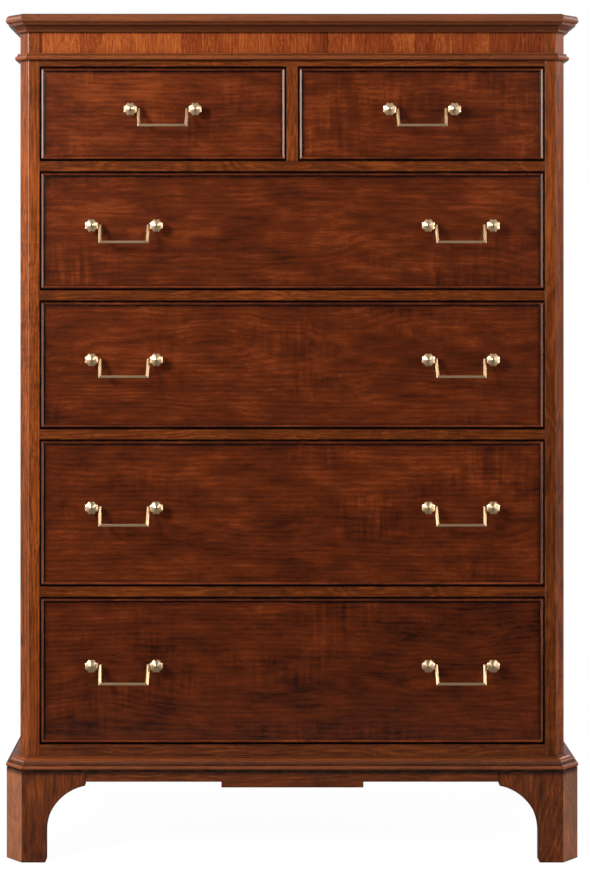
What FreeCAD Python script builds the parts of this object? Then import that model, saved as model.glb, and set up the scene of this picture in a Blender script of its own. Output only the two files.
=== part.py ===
import FreeCAD, Part
import math
import os

# Tall chest of drawers with canted front corners: two short drawers over four long ones, on bracket
# feet, with cock-beaded flat drawer fronts and brass bail pulls.
# Millimetres. X runs to the right, Y to the back and Z up. The origin is on the floor, below the
# middle of the cornice's plan.

Vector = FreeCAD.Vector
UP = Vector(0, 0, 1)
FORWARD = Vector(0, -1, 0)

# ---- plan of the case ----
WIDTH = 1016.0             # over the cornice
DEPTH = 495.0              # from the cornice's front edge to the back of the case
OVERHANG = 24.5            # cornice and base moulding past the case's faces
CANT = 16.5                # leg of the case's canted front corner
STILE_FACE = 19.5          # flat face of a corner post beside the drawers
POST_DEPTH = 45.0          # corner post, front to back
SIDE_THICKNESS = 19.0
BACK_THICKNESS = 6.0
BACK_LAP = 10.0            # how far the back panel laps onto each side panel
TONGUE = 6.0               # thickness of the side panel's tongue in the post
TONGUE_DEPTH = 8.0

# ---- heights, from the floor up ----
FOOT_HEIGHT = 160.0
BASE_HEIGHT = 22.5         # base moulding
BOTTOM_RAIL_FACE = 20.0    # bottom rail above the base moulding
RAIL_HEIGHT = 18.3         # rails between the drawer rows
OPENING_HEIGHTS = (261.0, 260.4, 227.8, 210.6, 167.2)  # drawer openings, bottom row first
TOP_RAIL_FACE = 11.0       # top rail below the waist moulding
WAIST_HEIGHT = 12.6        # waist moulding
FRIEZE_FACE = 37.0         # frieze between the waist moulding and the cornice
CORNICE_HEIGHT = 16.0      # cornice moulding below the top board
TOP_THICKNESS = 15.0

# ---- mouldings: how far each member stands out from the case ----
TOP_ROUND = 9.5            # upper edge of the top board
TOP_UNDER_ROUND = 4.0      # lower edge of the top board
CORNICE_SHELF = 19.5       # fillet under the top board
CORNICE_SHELF_HEIGHT = 4.5
CORNICE_FOOT = 7.0         # lowest fillet of the cornice
CORNICE_FOOT_HEIGHT = 4.3
WAIST_FILLET = 5.0
WAIST_FILLET_HEIGHT = 3.6
WAIST_BEAD = 9.2
BASE_CAP = 4.0             # top fillet of the base moulding
BASE_CAP_HEIGHT = 2.5
BASE_SHELF = 19.0          # foot of the ovolo, above the bead
BASE_BEAD_RADIUS = 4.3
BASE_NECK = 22.0           # fillet under the bead
BASE_NECK_HEIGHT = 1.4

# ---- frames between the drawers ----
RAIL_DEPTH = 60.0          # front rails, front to back
BOTTOM_RAIL_HEIGHT = 26.0
TOP_RAIL_HEIGHT = 17.3
FRIEZE_THICKNESS = 20.0
TENON_LENGTH = 10.0
TENON_SHOULDER = 3.0       # wood left above and below a tenon
TENON_DEPTH = 30.0         # tenon, front to back
REAR_RAIL_DEPTH = 50.0
RUNNER_WIDTH = 60.0        # runner and its guide, out from the side panel
GUIDE_HEIGHT = 25.0
CENTRE_RUNNER_WIDTH = 80.0
DIVIDER_WIDTH = 20.0       # post between the two short drawers
DIVIDER_DEPTH = 22.0
PARTITION_THICKNESS = 17.0
DUST_PANEL = 4.0
GROOVE_DEPTH = 6.0
STOP_SIZE = (60.0, 25.0, 5.0)  # drawer stop: along the rail, front to back, height
STOP_INSET = 0.3           # gap between a closed drawer front and its stops
STOP_SPREAD = 0.28         # stops stand this share of the opening's width off its centre

# ---- drawers ----
REVEAL = 1.6               # gap round a drawer front
RUN_CLEARANCE = 0.3        # under the drawer sides
FRONT_SETBACK = 1.5        # drawer front's flat face behind the case's face
FRONT_THICKNESS = 21.0
BEAD_WIDTH = 5.0
BEAD_PROUD = 2.6           # bead in front of the flat face
BEAD_CROWN = 1.6           # height of the bead's rounded nose
BEAD_REBATE = 8.0          # bead let into the front's edges
DRAWER_BACK_GAP = 33.0     # between a closed drawer and the back panel
DRAWER_SIDE = 12.7         # thickness of drawer sides and backs
SIDE_TOP_GAP = 5.0         # drawer sides below the opening's top
BOTTOM_RISE = 12.0         # drawer bottom above the sides' lower edges
BOTTOM_PANEL = 5.0
TAIL_LENGTH = 12.0         # half-blind dovetails in the drawer front
TAIL_PITCH = 64.0          # dovetails are spaced about this far apart
PIN_WIDTH = 14.0           # pin between two tails at their roots
TAIL_SLOPE = 1 / 6

# ---- bail pulls ----
PULL_CENTRES = 114.3       # between the two posts of a pull
PULL_OFFSET = 297.0        # a pull of a long drawer from the chest's middle
PULL_RISE = 0.042          # posts above an opening's middle, as a share of the opening's height
COLLAR_FLATS = 13.0        # across the eight-sided collar on the drawer's face
COLLAR_HEIGHT = 1.6
NECK_FLATS = 9.0           # across the eight-sided neck
KNOB_FLATS = 22.6          # across the eight-sided knob
KNOB_BACK = 15.3           # from the drawer's face to the back of the knob
KNOB_BEVEL = 1.3           # from the knob's back to its rim
KNOB_RIM = 1.3             # thickness of the rim
KNOB_CROWN = 2.8           # from the rim to the middle ring of facets
KNOB_TABLE = 5.8           # from the rim to the small front facet
CROWN_FLATS = 17.0
TABLE_FLATS = 8.0
PIVOT_HEIGHT = 12.3        # bail's pivot from the drawer's face
PIVOT_RADIUS = 2.0
PIVOT_CLEARANCE = 0.1
PIVOT_SIDES = 12           # the twenty small pivots and their bores are drawn with this many flats
PIVOT_DEPTH = 1.2          # pivot's end past the post's axis
BORE_END_GAP = 0.4         # between the pivot's end and its bore's
BAR_HALF = 2.65            # half the diagonal of the bail's square bar
NECK_GAP = 0.4             # between the neck and the bail's bar
ARM_INSET = 14.2           # bail's arm inside its post's axis, at the pivot
ARM_SPLAY = 1.5            # how much further in the arm is at the bar
BAIL_DROP = 29.0           # bar below the pivot when the bail hangs on its stop
BAIL_LEAN = 15.5           # bar in front of the pivot then

# ---- bracket feet and aprons ----
FOOT_PROJECTION = 23.2     # feet past the case's faces
FOOT_BOARD = 22.0
FOOT_WIDTH = 73.1          # upright part of a foot
ARC_RADIUS = 85.0
ARC_START = 51.5           # height where the arc leaves the upright
ARC_SHORT = 16.2           # bracket ends this far short of the arc's crown
FOOT_EASE = 3.0            # eased lower corners
BLOCK_SIZE = 34.0          # corner block inside a foot
BLOCK_LIFT = 6.0           # corner block above the floor
REAR_BRACE = 105.0         # back bracket of a rear foot
REAR_BRACE_THICKNESS = 18.0
REAR_BRACE_HEIGHT = 60.0   # its free end
APRON_HEIGHT = 18.2
APRON_THICKNESS = 18.0
APRON_SETBACK = 1.0        # aprons behind the feet's faces
DROP_WIDTH = 250.0         # lowered middle of the front apron
DROP_HEIGHT = 10.0

# ---- worked out from the above ----
CASE_HALF = WIDTH / 2 - OVERHANG
CASE_FRONT = OVERHANG - DEPTH / 2
CASE_BACK = DEPTH / 2
INNER_HALF = CASE_HALF - SIDE_THICKNESS
BACK_INNER = CASE_BACK - BACK_THICKNESS
OPENING_HALF = CASE_HALF - CANT - STILE_FACE
RAIL_BACK = CASE_FRONT + RAIL_DEPTH
REAR_RAIL_FRONT = BACK_INNER - REAR_RAIL_DEPTH
BASE_TOP = FOOT_HEIGHT + BASE_HEIGHT
ROWS = []
for opening in OPENING_HEIGHTS:
    row_low = ROWS[-1][1] + RAIL_HEIGHT if ROWS else BASE_TOP + BOTTOM_RAIL_FACE
    ROWS.append((row_low, row_low + opening))
WAIST_LOW = ROWS[-1][1] + TOP_RAIL_FACE
WAIST_TOP = WAIST_LOW + WAIST_HEIGHT
CORNICE_LOW = WAIST_TOP + FRIEZE_FACE
CASE_TOP = CORNICE_LOW + CORNICE_HEIGHT
FRONT_FACE = CASE_FRONT + FRONT_SETBACK
FRONT_BACK = FRONT_FACE + FRONT_THICKNESS
DRAWER_END = BACK_INNER - DRAWER_BACK_GAP
PIVOT_Y = FRONT_FACE - PIVOT_HEIGHT
LEAN = math.atan2(BAIL_LEAN, BAIL_DROP)
BAIL_LENGTH = math.hypot(BAIL_LEAN, BAIL_DROP)


# ---- small helpers ----

def block(x_span, y_span, z_span):
    """A box over three spans, each a pair in any order."""
    low = [min(span) for span in (x_span, y_span, z_span)]
    size = [abs(span[1] - span[0]) for span in (x_span, y_span, z_span)]
    return Part.makeBox(*size, Vector(*low))


def mirrored(shape):
    """The same piece on the other side of the chest."""
    return shape.mirror(Vector(0, 0, 0), Vector(1, 0, 0))


def prism(points, direction):
    """A flat polygon carried along a direction."""
    return Part.Face(Part.makePolygon([*points, points[0]])).extrude(direction)


def outline_face(start, steps, place):
    """A face inside a closed outline. A step is an end point, or a pair of a point on an arc and its end."""
    edges = []
    here = start
    for step in [*steps, start]:
        if isinstance(step[0], tuple):
            edges.append(Part.Arc(place(here), place(step[0]), place(step[1])).toShape())
            here = step[1]
        elif step != here:
            edges.append(Part.LineSegment(place(here), place(step)).toShape())
            here = step
    return Part.Face(Part.Wire(edges))


def mitred_stick(outline, inner, outer, up):
    """A length of moulding with mitred ends.

    inner and outer are the ends of the stick's edge at no projection and past its full projection, so
    the mitres pass through them. The outline's points are (out, up) from the inner edge.
    """
    along = (inner[1] - inner[0]).normalize()
    out = outer[0] - inner[0]
    out = (out - along * out.dot(along)).normalize()
    reach = (outer[0] - inner[0]).Length
    corner = inner[0] - along * reach
    face = outline_face(*outline, lambda point: corner + out * point[0] + up * point[1])
    run = face.extrude(along * ((inner[1] - inner[0]).Length + 2 * reach))
    heights = [(vertex.Point - corner).dot(up) for vertex in run.Vertexes]
    floor = up * (min(heights) - reach)
    ring = [point + floor for point in (inner[0], inner[1], outer[1], outer[0])]
    return run.common(prism(ring, up * (max(heights) - min(heights) + 2 * reach)))


def faceted(rings):
    """A closed solid over successive rings of points, with flat ends."""
    faces = [Part.Face(Part.makePolygon([*ring, ring[0]])) for ring in (rings[0], rings[-1])]
    for ring, following in zip(rings, rings[1:]):
        for i, corner in enumerate(ring):
            beside = (i + 1) % len(ring)
            for triangle in ((corner, ring[beside], following[i]),
                             (ring[beside], following[beside], following[i])):
                faces.append(Part.Face(Part.makePolygon([*triangle, triangle[0]])))
    solid = Part.Solid(Part.Shell(faces)).removeSplitter()
    if solid.Volume < 0:
        solid.reverse()
    return solid


def write(name, pieces):
    """Writes one node's pieces as separate solids."""
    solids = [solid for piece in pieces for solid in piece.Solids]
    shape = solids[0] if len(solids) == 1 else Part.makeCompound(solids)
    shape.exportStep(f"parts/{name}.step")
    print(name, len(solids), "solid(s), valid" if shape.isValid() else "solid(s), NOT VALID")


# ---- plan of the canted case ----

def plan(offset):
    """The case's outline moved out by offset: left side's back, round the front, right side's back."""
    half = CASE_HALF + offset
    front = CASE_FRONT - offset
    cant = CANT + (2 - math.sqrt(2)) * offset
    left = [(-half, CASE_BACK), (-half, front + cant), (-half + cant, front)]
    right = [(-x, y) for x, y in reversed(left)]
    return [Vector(x, y, 0) for x, y in left + right]


def round_the_case(outline, level):
    """Five mitred sticks of one moulding: two sides, two canted corners and the front."""
    inner = [point + UP * level for point in plan(0)]
    outer = [point + UP * level for point in plan(OVERHANG + CANT)]
    return [mitred_stick(outline, inner[i:i + 2], outer[i:i + 2], UP) for i in range(5)]


def plan_board(edge, low, high):
    """A mitred upright board of a foot, behind one edge of the feet's outline."""
    outer = plan(FOOT_PROJECTION)[edge:edge + 2]
    inner = plan(FOOT_PROJECTION - FOOT_BOARD)[edge:edge + 2]
    ring = [point + UP * low for point in (outer[0], outer[1], inner[1], inner[0])]
    return prism(ring, UP * (high - low))


# ---- case ----

def top_board():
    """Top with its front and side edges rounded over and under."""
    edge = OVERHANG
    board = prism([point + UP * CASE_TOP for point in plan(edge)], UP * TOP_THICKNESS)

    def shown(box, level):
        return abs(box.ZMin - level) < 0.01 and abs(box.ZMax - level) < 0.01 and box.YMin < CASE_BACK - 1

    upper = [e for e in board.Edges if shown(e.BoundBox, CASE_TOP + TOP_THICKNESS)]
    board = board.makeFillet(TOP_ROUND, upper)
    lower = [e for e in board.Edges if shown(e.BoundBox, CASE_TOP)]
    return [board.makeFillet(TOP_UNDER_ROUND, lower)]


def cornice_moulding():
    """Shelf fillet, cove and foot fillet under the top board."""
    cove_low = CORNICE_FOOT_HEIGHT
    cove_top = CORNICE_HEIGHT - CORNICE_SHELF_HEIGHT
    hollow = CORNICE_SHELF - CORNICE_FOOT
    rise = cove_top - cove_low
    bend = math.sqrt(0.5)
    via = (CORNICE_SHELF - hollow * bend, cove_low + rise * bend)
    steps = [(CORNICE_FOOT, 0), (CORNICE_FOOT, cove_low), (via, (CORNICE_SHELF, cove_top)),
             (CORNICE_SHELF, CORNICE_HEIGHT), (0, CORNICE_HEIGHT)]
    return round_the_case(((0, 0), steps), CORNICE_LOW)


def waist_moulding():
    """Fillet over a half-round bead."""
    bead_height = WAIST_HEIGHT - WAIST_FILLET_HEIGHT
    root = WAIST_BEAD - bead_height / 2
    steps = [(root, 0), ((WAIST_BEAD, bead_height / 2), (root, bead_height)), (WAIST_FILLET, bead_height),
             (WAIST_FILLET, WAIST_HEIGHT), (0, WAIST_HEIGHT)]
    return round_the_case(((0, 0), steps), WAIST_LOW)


def base_moulding():
    """Cap fillet, ovolo, quirk, bead and neck, between the case and the feet."""
    bead_low = BASE_NECK_HEIGHT
    bead_top = bead_low + 2 * BASE_BEAD_RADIUS
    root = OVERHANG - BASE_BEAD_RADIUS
    cap_low = BASE_HEIGHT - BASE_CAP_HEIGHT
    bend = math.sqrt(0.5)
    via = (BASE_CAP + (BASE_SHELF - BASE_CAP) * bend, bead_top + (cap_low - bead_top) * bend)
    steps = [(BASE_NECK, 0), (BASE_NECK, bead_low), (root, bead_low),
             ((OVERHANG, bead_low + BASE_BEAD_RADIUS), (root, bead_top)), (BASE_SHELF, bead_top),
             (via, (BASE_CAP, cap_low)), (BASE_CAP, BASE_HEIGHT), (0, BASE_HEIGHT)]
    return round_the_case(((0, 0), steps), FOOT_HEIGHT)


def rail_levels():
    """Lower and upper faces of the front rails: bottom rail, rails between the rows, top rail."""
    levels = [(ROWS[0][0] - BOTTOM_RAIL_HEIGHT, ROWS[0][0])]
    levels += [(low - RAIL_HEIGHT, low) for low, _ in ROWS[1:]]
    return levels + [(ROWS[-1][1], ROWS[-1][1] + TOP_RAIL_HEIGHT)]


def tenons(low, high):
    """The two tenons of a front rail, inside the corner posts."""
    y_span = (CASE_FRONT + (POST_DEPTH - TENON_DEPTH) / 2, CASE_FRONT + (POST_DEPTH + TENON_DEPTH) / 2)
    z_span = (low + TENON_SHOULDER, high - TENON_SHOULDER)
    left = block((-OPENING_HALF - TENON_LENGTH, -OPENING_HALF), y_span, z_span)
    return [left, mirrored(left)]


def frame_levels():
    """Lower and upper faces of the runner frames: one under each row, and the kickers above the top row."""
    return [(low - RAIL_HEIGHT, low) for low, _ in ROWS] + [(ROWS[-1][1], ROWS[-1][1] + RAIL_HEIGHT)]


def dust_panels():
    """Thin panels in the grooves of the frames, in two halves where the centre runner is."""
    edge = INNER_HALF - RUNNER_WIDTH
    middle = CENTRE_RUNNER_WIDTH / 2
    panels = []
    for row, (low, high) in enumerate(frame_levels()[:-1]):
        spans = [(-edge, -middle), (middle, edge)] if row == len(ROWS) - 1 else [(-edge, edge)]
        centre = (low + high) / 2
        for left, right in spans:
            panels.append(block((left - GROOVE_DEPTH, right + GROOVE_DEPTH),
                                (RAIL_BACK - GROOVE_DEPTH, REAR_RAIL_FRONT + GROOVE_DEPTH),
                                (centre - DUST_PANEL / 2, centre + DUST_PANEL / 2)))
    return panels


def drawer_rails():
    """Front rails with their tenons, and the strip that backs the base moulding."""
    rails = []
    panels = dust_panels()
    for low, high in rail_levels():
        rail = block((-OPENING_HALF, OPENING_HALF), (CASE_FRONT, RAIL_BACK), (low, high))
        rails.append(rail.fuse(tenons(low, high)).removeSplitter().cut(panels))
    strip_top = rail_levels()[0][0]
    rails.append(block((-OPENING_HALF, OPENING_HALF), (CASE_FRONT, CASE_FRONT + DIVIDER_DEPTH),
                       (FOOT_HEIGHT, strip_top)))
    return rails


def runner_frames():
    """Side runners with their guides, centre runner and kicker, and rear rails."""
    pieces = []
    y_span = (RAIL_BACK, REAR_RAIL_FRONT)
    centre_span = (-CENTRE_RUNNER_WIDTH / 2, CENTRE_RUNNER_WIDTH / 2)
    levels = frame_levels()
    for row, (low, high) in enumerate(levels):
        runner = block((-INNER_HALF, RUNNER_WIDTH - INNER_HALF), y_span, (low, high))
        pieces += [runner, mirrored(runner)]
        if row < len(ROWS):
            guide = block((-INNER_HALF, -OPENING_HALF), y_span, (high, high + GUIDE_HEIGHT))
            pieces += [guide, mirrored(guide)]
        pieces.append(block((-INNER_HALF, INNER_HALF), (REAR_RAIL_FRONT, BACK_INNER), (low, high)))
        if row >= len(ROWS) - 1:
            pieces.append(block(centre_span, y_span, (low, high)))
    panels = dust_panels()
    return [piece.cut(panels) for piece in pieces]


def top_drawer_divider():
    """Post between the short drawers, and the partition behind it."""
    low, high = ROWS[-1]
    post_back = CASE_FRONT + DIVIDER_DEPTH
    post = block((-DIVIDER_WIDTH / 2, DIVIDER_WIDTH / 2), (CASE_FRONT, post_back), (low, high))
    partition = block((-PARTITION_THICKNESS / 2, PARTITION_THICKNESS / 2), (post_back, BACK_INNER), (low, high))
    return [post, partition]


def drawer_stops():
    """Two blocks on the rail behind each drawer's front."""
    along, deep, tall = STOP_SIZE
    y_start = FRONT_BACK + STOP_INSET
    stops = []
    for _, (left, right), (low, _) in drawers():
        for side in (-1, 1):
            middle = (left + right) / 2 + side * STOP_SPREAD * (right - left)
            stops.append(block((middle - along / 2, middle + along / 2), (y_start, y_start + deep),
                               (low, low + tall)))
    return stops


def frieze_board():
    """Board between the corner posts, above the top rail and behind the waist moulding."""
    low = ROWS[-1][1] + TOP_RAIL_HEIGHT
    return [block((-OPENING_HALF, OPENING_HALF), (CASE_FRONT, CASE_FRONT + FRIEZE_THICKNESS), (low, CASE_TOP))]


def side_tongue(low, high):
    """The left side panel's tongue in its post."""
    middle = -CASE_HALF + SIDE_THICKNESS / 2
    return block((middle - TONGUE / 2, middle + TONGUE / 2),
                 (CASE_FRONT + POST_DEPTH - TONGUE_DEPTH, CASE_FRONT + POST_DEPTH), (low, high))


def corner_post():
    """Left front post: canted outside, mortised for the rails and grooved for the side panel."""
    back = CASE_FRONT + POST_DEPTH
    ring = [(-OPENING_HALF, CASE_FRONT), (-CASE_HALF + CANT, CASE_FRONT), (-CASE_HALF, CASE_FRONT + CANT),
            (-CASE_HALF, back), (-OPENING_HALF, back)]
    post = prism([Vector(x, y, FOOT_HEIGHT) for x, y in ring], UP * (CASE_TOP - FOOT_HEIGHT))
    mortises = [tenons(low, high)[0] for low, high in rail_levels()]
    return post.cut([side_tongue(FOOT_HEIGHT, CASE_TOP), *mortises])


def back_panel():
    """Thin back let into the side panels."""
    edge = INNER_HALF + BACK_LAP
    return [block((-edge, edge), (BACK_INNER, CASE_BACK), (FOOT_HEIGHT, CASE_TOP))]


def side_panel():
    """Left side, tongued into its post and rebated for the back."""
    panel = block((-CASE_HALF, -INNER_HALF), (CASE_FRONT + POST_DEPTH, CASE_BACK), (FOOT_HEIGHT, CASE_TOP))
    return panel.fuse(side_tongue(FOOT_HEIGHT, CASE_TOP)).removeSplitter().cut(back_panel())


# ---- feet ----

def bracket_outline(place):
    """A bracket's scroll, with points (in from the foot's outer face, up)."""
    arc_centre = FOOT_WIDTH + ARC_RADIUS
    end = arc_centre - ARC_SHORT
    end_height = ARC_START + math.sqrt(ARC_RADIUS ** 2 - ARC_SHORT ** 2)
    turn = (math.pi - math.asin(end_height / ARC_RADIUS - ARC_START / ARC_RADIUS) + math.pi) / 2
    via = (arc_centre + ARC_RADIUS * math.cos(turn), ARC_START + ARC_RADIUS * math.sin(turn))
    steps = [(FOOT_WIDTH - FOOT_EASE, 0), (FOOT_WIDTH, FOOT_EASE), (FOOT_WIDTH, ARC_START),
             (via, (end, end_height)), (end, FOOT_HEIGHT), (0, FOOT_HEIGHT)]
    return outline_face((0, 0), steps, place)


def bracket_end():
    """Free end of a bracket, in from the foot's outer face."""
    return FOOT_WIDTH + ARC_RADIUS - ARC_SHORT


def front_foot():
    """Left front foot: front bracket, canted board, side bracket and the block behind them."""
    half = CASE_HALF + FOOT_PROJECTION
    front = CASE_FRONT - FOOT_PROJECTION
    across = bracket_outline(lambda point: Vector(-half + point[0], front, point[1]))
    along = bracket_outline(lambda point: Vector(-half, front + point[0], point[1]))
    front_bracket = plan_board(2, 0, FOOT_HEIGHT).common(across.extrude(Vector(0, FOOT_BOARD, 0)))
    side_bracket = plan_board(0, 0, FOOT_HEIGHT).common(along.extrude(Vector(FOOT_BOARD, 0, 0)))
    inner = plan(FOOT_PROJECTION - FOOT_BOARD)
    corner = [inner[1], inner[2], Vector(inner[1].x + BLOCK_SIZE, inner[2].y, 0),
              Vector(inner[1].x + BLOCK_SIZE, inner[2].y + BLOCK_SIZE, 0),
              Vector(inner[1].x, inner[2].y + BLOCK_SIZE, 0)]
    glue_block = prism([point + UP * BLOCK_LIFT for point in corner], UP * (FOOT_HEIGHT - BLOCK_LIFT))
    return [front_bracket, plan_board(1, 0, FOOT_HEIGHT), side_bracket, glue_block]


def rear_foot():
    """Left rear foot: side bracket, plain back bracket and the block between them."""
    half = CASE_HALF + FOOT_PROJECTION
    along = bracket_outline(lambda point: Vector(-half, CASE_BACK - point[0], point[1]))
    side_bracket = along.extrude(Vector(FOOT_BOARD, 0, 0))
    inside = -half + FOOT_BOARD
    brace_front = CASE_BACK - REAR_BRACE_THICKNESS
    brace = [(inside, 0), (inside, FOOT_HEIGHT), (inside + REAR_BRACE, FOOT_HEIGHT),
             (inside + REAR_BRACE, FOOT_HEIGHT - REAR_BRACE_HEIGHT), (inside + BLOCK_SIZE, 0)]
    back_bracket = prism([Vector(x, brace_front, z) for x, z in brace], Vector(0, REAR_BRACE_THICKNESS, 0))
    glue_block = block((inside, inside + BLOCK_SIZE), (brace_front - BLOCK_SIZE, brace_front),
                       (BLOCK_LIFT, FOOT_HEIGHT))
    return [side_bracket, back_bracket, glue_block]


def aprons():
    """Strips under the base moulding between the brackets, the front one lowered in its middle."""
    half = CASE_HALF + FOOT_PROJECTION
    face = CASE_FRONT - FOOT_PROJECTION + APRON_SETBACK
    low = FOOT_HEIGHT - APRON_HEIGHT
    end = half - bracket_end()
    drop = DROP_WIDTH / 2
    ring = [(-end, FOOT_HEIGHT), (end, FOOT_HEIGHT), (end, low), (drop, low), (drop, low - DROP_HEIGHT),
            (-drop, low - DROP_HEIGHT), (-drop, low), (-end, low)]
    front = prism([Vector(x, face, z) for x, z in ring], Vector(0, APRON_THICKNESS, 0))
    side = block((-half + APRON_SETBACK, -half + APRON_SETBACK + APRON_THICKNESS),
                 (CASE_FRONT - FOOT_PROJECTION + bracket_end(), CASE_BACK - bracket_end()),
                 (low, FOOT_HEIGHT))
    return [front, side, mirrored(side)]


# ---- drawers ----

def drawers():
    """Name, opening from left to right and opening from bottom to top of each drawer."""
    middle = DIVIDER_WIDTH / 2
    whole = (-OPENING_HALF, OPENING_HALF)
    return [("drawer_bottom", whole, ROWS[0]), ("drawer_lower", whole, ROWS[1]),
            ("drawer_middle", whole, ROWS[2]), ("drawer_upper", whole, ROWS[3]),
            ("drawer_top_left", (-OPENING_HALF, -middle), ROWS[4]),
            ("drawer_top_right", (middle, OPENING_HALF), ROWS[4])]


def tails(x_span, z_span, root, tip):
    """Dovetails on the end of a drawer side, wider at their tips."""
    height = z_span[1] - z_span[0]
    count = max(2, round(height / TAIL_PITCH))
    pitch = height / count
    flare = abs(tip - root) * TAIL_SLOPE
    shapes = []
    for i in range(count):
        low = z_span[0] + i * pitch + PIN_WIDTH / 2
        high = z_span[0] + (i + 1) * pitch - PIN_WIDTH / 2
        ring = [(root, low), (root, high), (tip, high + flare), (tip, low - flare)]
        shapes.append(prism([Vector(x_span[0], y, z) for y, z in ring], Vector(x_span[1] - x_span[0], 0, 0)))
    return shapes


def bead_strips(x_span, z_span):
    """Four mitred strips round the drawer front, each with a half-round nose."""
    base = FRONT_FACE + BEAD_REBATE
    shoulder = BEAD_REBATE + BEAD_PROUD - BEAD_CROWN
    steps = [(BEAD_WIDTH, 0), (BEAD_WIDTH, shoulder),
             ((BEAD_WIDTH / 2, BEAD_REBATE + BEAD_PROUD), (0, shoulder))]

    def ring(inset):
        left, right = x_span[0] + inset, x_span[1] - inset
        low, high = z_span[0] + inset, z_span[1] - inset
        corners = [(left, low), (right, low), (right, high), (left, high), (left, low)]
        return [Vector(x, base, z) for x, z in corners]

    inner, outer = ring(BEAD_WIDTH), ring(0)
    return [mitred_stick(((0, 0), steps), inner[i:i + 2], outer[i:i + 2], FORWARD) for i in range(4)]


def drawer_box(x_span, z_span):
    """The wooden pieces of one drawer, from its opening."""
    left, right = x_span[0] + REVEAL, x_span[1] - REVEAL
    front_z = (z_span[0] + REVEAL, z_span[1] - REVEAL)
    side_low, side_top = z_span[0] + RUN_CLEARANCE, z_span[1] - SIDE_TOP_GAP
    panel_low = side_low + BOTTOM_RISE
    panel_top = panel_low + BOTTOM_PANEL
    back_front = DRAWER_END - DRAWER_SIDE
    groove = DRAWER_SIDE - GROOVE_DEPTH
    panel = block((left + groove, right - groove), (FRONT_BACK - GROOVE_DEPTH, DRAWER_END),
                  (panel_low, panel_top))
    tail_root_z = (max(side_low, front_z[0]), side_top)
    front_tails = []
    rear_tails = []
    for x_edges in ((left, left + DRAWER_SIDE), (right - DRAWER_SIDE, right)):
        front_tails += tails(x_edges, tail_root_z, FRONT_BACK, FRONT_BACK - TAIL_LENGTH)
        rear_tails += tails(x_edges, (panel_top, side_top), back_front, DRAWER_END)
    back = block((left, right), (back_front, DRAWER_END), (panel_top, side_top)).cut(rear_tails)
    half = len(front_tails) // 2
    sides = []
    for x_edges, own in (((left, left + DRAWER_SIDE), front_tails[:half]),
                         ((right - DRAWER_SIDE, right), front_tails[half:])):
        side = block(x_edges, (FRONT_BACK, DRAWER_END), (side_low, side_top))
        sides.append(side.fuse(own).removeSplitter().cut([panel, back]))
    front = block((left, right), (FRONT_FACE + BEAD_REBATE, FRONT_BACK), front_z)
    field = block((left + BEAD_WIDTH, right - BEAD_WIDTH), (FRONT_FACE, FRONT_FACE + BEAD_REBATE),
                  (front_z[0] + BEAD_WIDTH, front_z[1] - BEAD_WIDTH))
    front = front.fuse(field).removeSplitter().cut([panel, *front_tails])
    return {"front": [front, *bead_strips((left, right), front_z)], "sides": sides, "back": [back],
            "panel": [panel]}


# ---- pulls ----

def octagon(x, z, distance, flats, turn=0.0):
    """Eight points round a post's axis, at a distance in front of the drawer's face."""
    radius = flats / 2 / math.cos(math.pi / 8)
    angles = [(i + 0.5) * math.pi / 4 + turn for i in range(8)]
    return [Vector(x + radius * math.cos(a), FRONT_FACE - distance, z + radius * math.sin(a)) for a in angles]


def rod(start, along, length, apothem):
    """A many-sided rod whose flats lie this far from its axis."""
    radius = apothem / math.cos(math.pi / PIVOT_SIDES)
    beside = UP.cross(along)
    angles = [2 * math.pi * (i + 0.5) / PIVOT_SIDES for i in range(PIVOT_SIDES)]
    ring = [start + beside * (radius * math.cos(a)) + UP * (radius * math.sin(a)) for a in angles]
    return prism(ring, along * length)


def pull_post(x, z, inward):
    """Eight-sided collar, neck and faceted knob in one piece, bored for the bail's pivot."""
    rim = KNOB_BACK + KNOB_BEVEL
    front = rim + KNOB_RIM
    rings = [octagon(x, z, 0, COLLAR_FLATS), octagon(x, z, COLLAR_HEIGHT, COLLAR_FLATS),
             octagon(x, z, COLLAR_HEIGHT, NECK_FLATS), octagon(x, z, KNOB_BACK, NECK_FLATS),
             octagon(x, z, rim, KNOB_FLATS), octagon(x, z, front, KNOB_FLATS),
             octagon(x, z, front + KNOB_CROWN, CROWN_FLATS, math.pi / 8),
             octagon(x, z, front + KNOB_TABLE, TABLE_FLATS, math.pi / 4)]
    bore_depth = PIVOT_DEPTH + BORE_END_GAP
    bore_start = Vector(x - inward * bore_depth, PIVOT_Y, z)
    bore = rod(bore_start, Vector(inward, 0, 0), bore_depth + NECK_FLATS, PIVOT_RADIUS + PIVOT_CLEARANCE)
    return faceted(rings).cut(bore)


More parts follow.
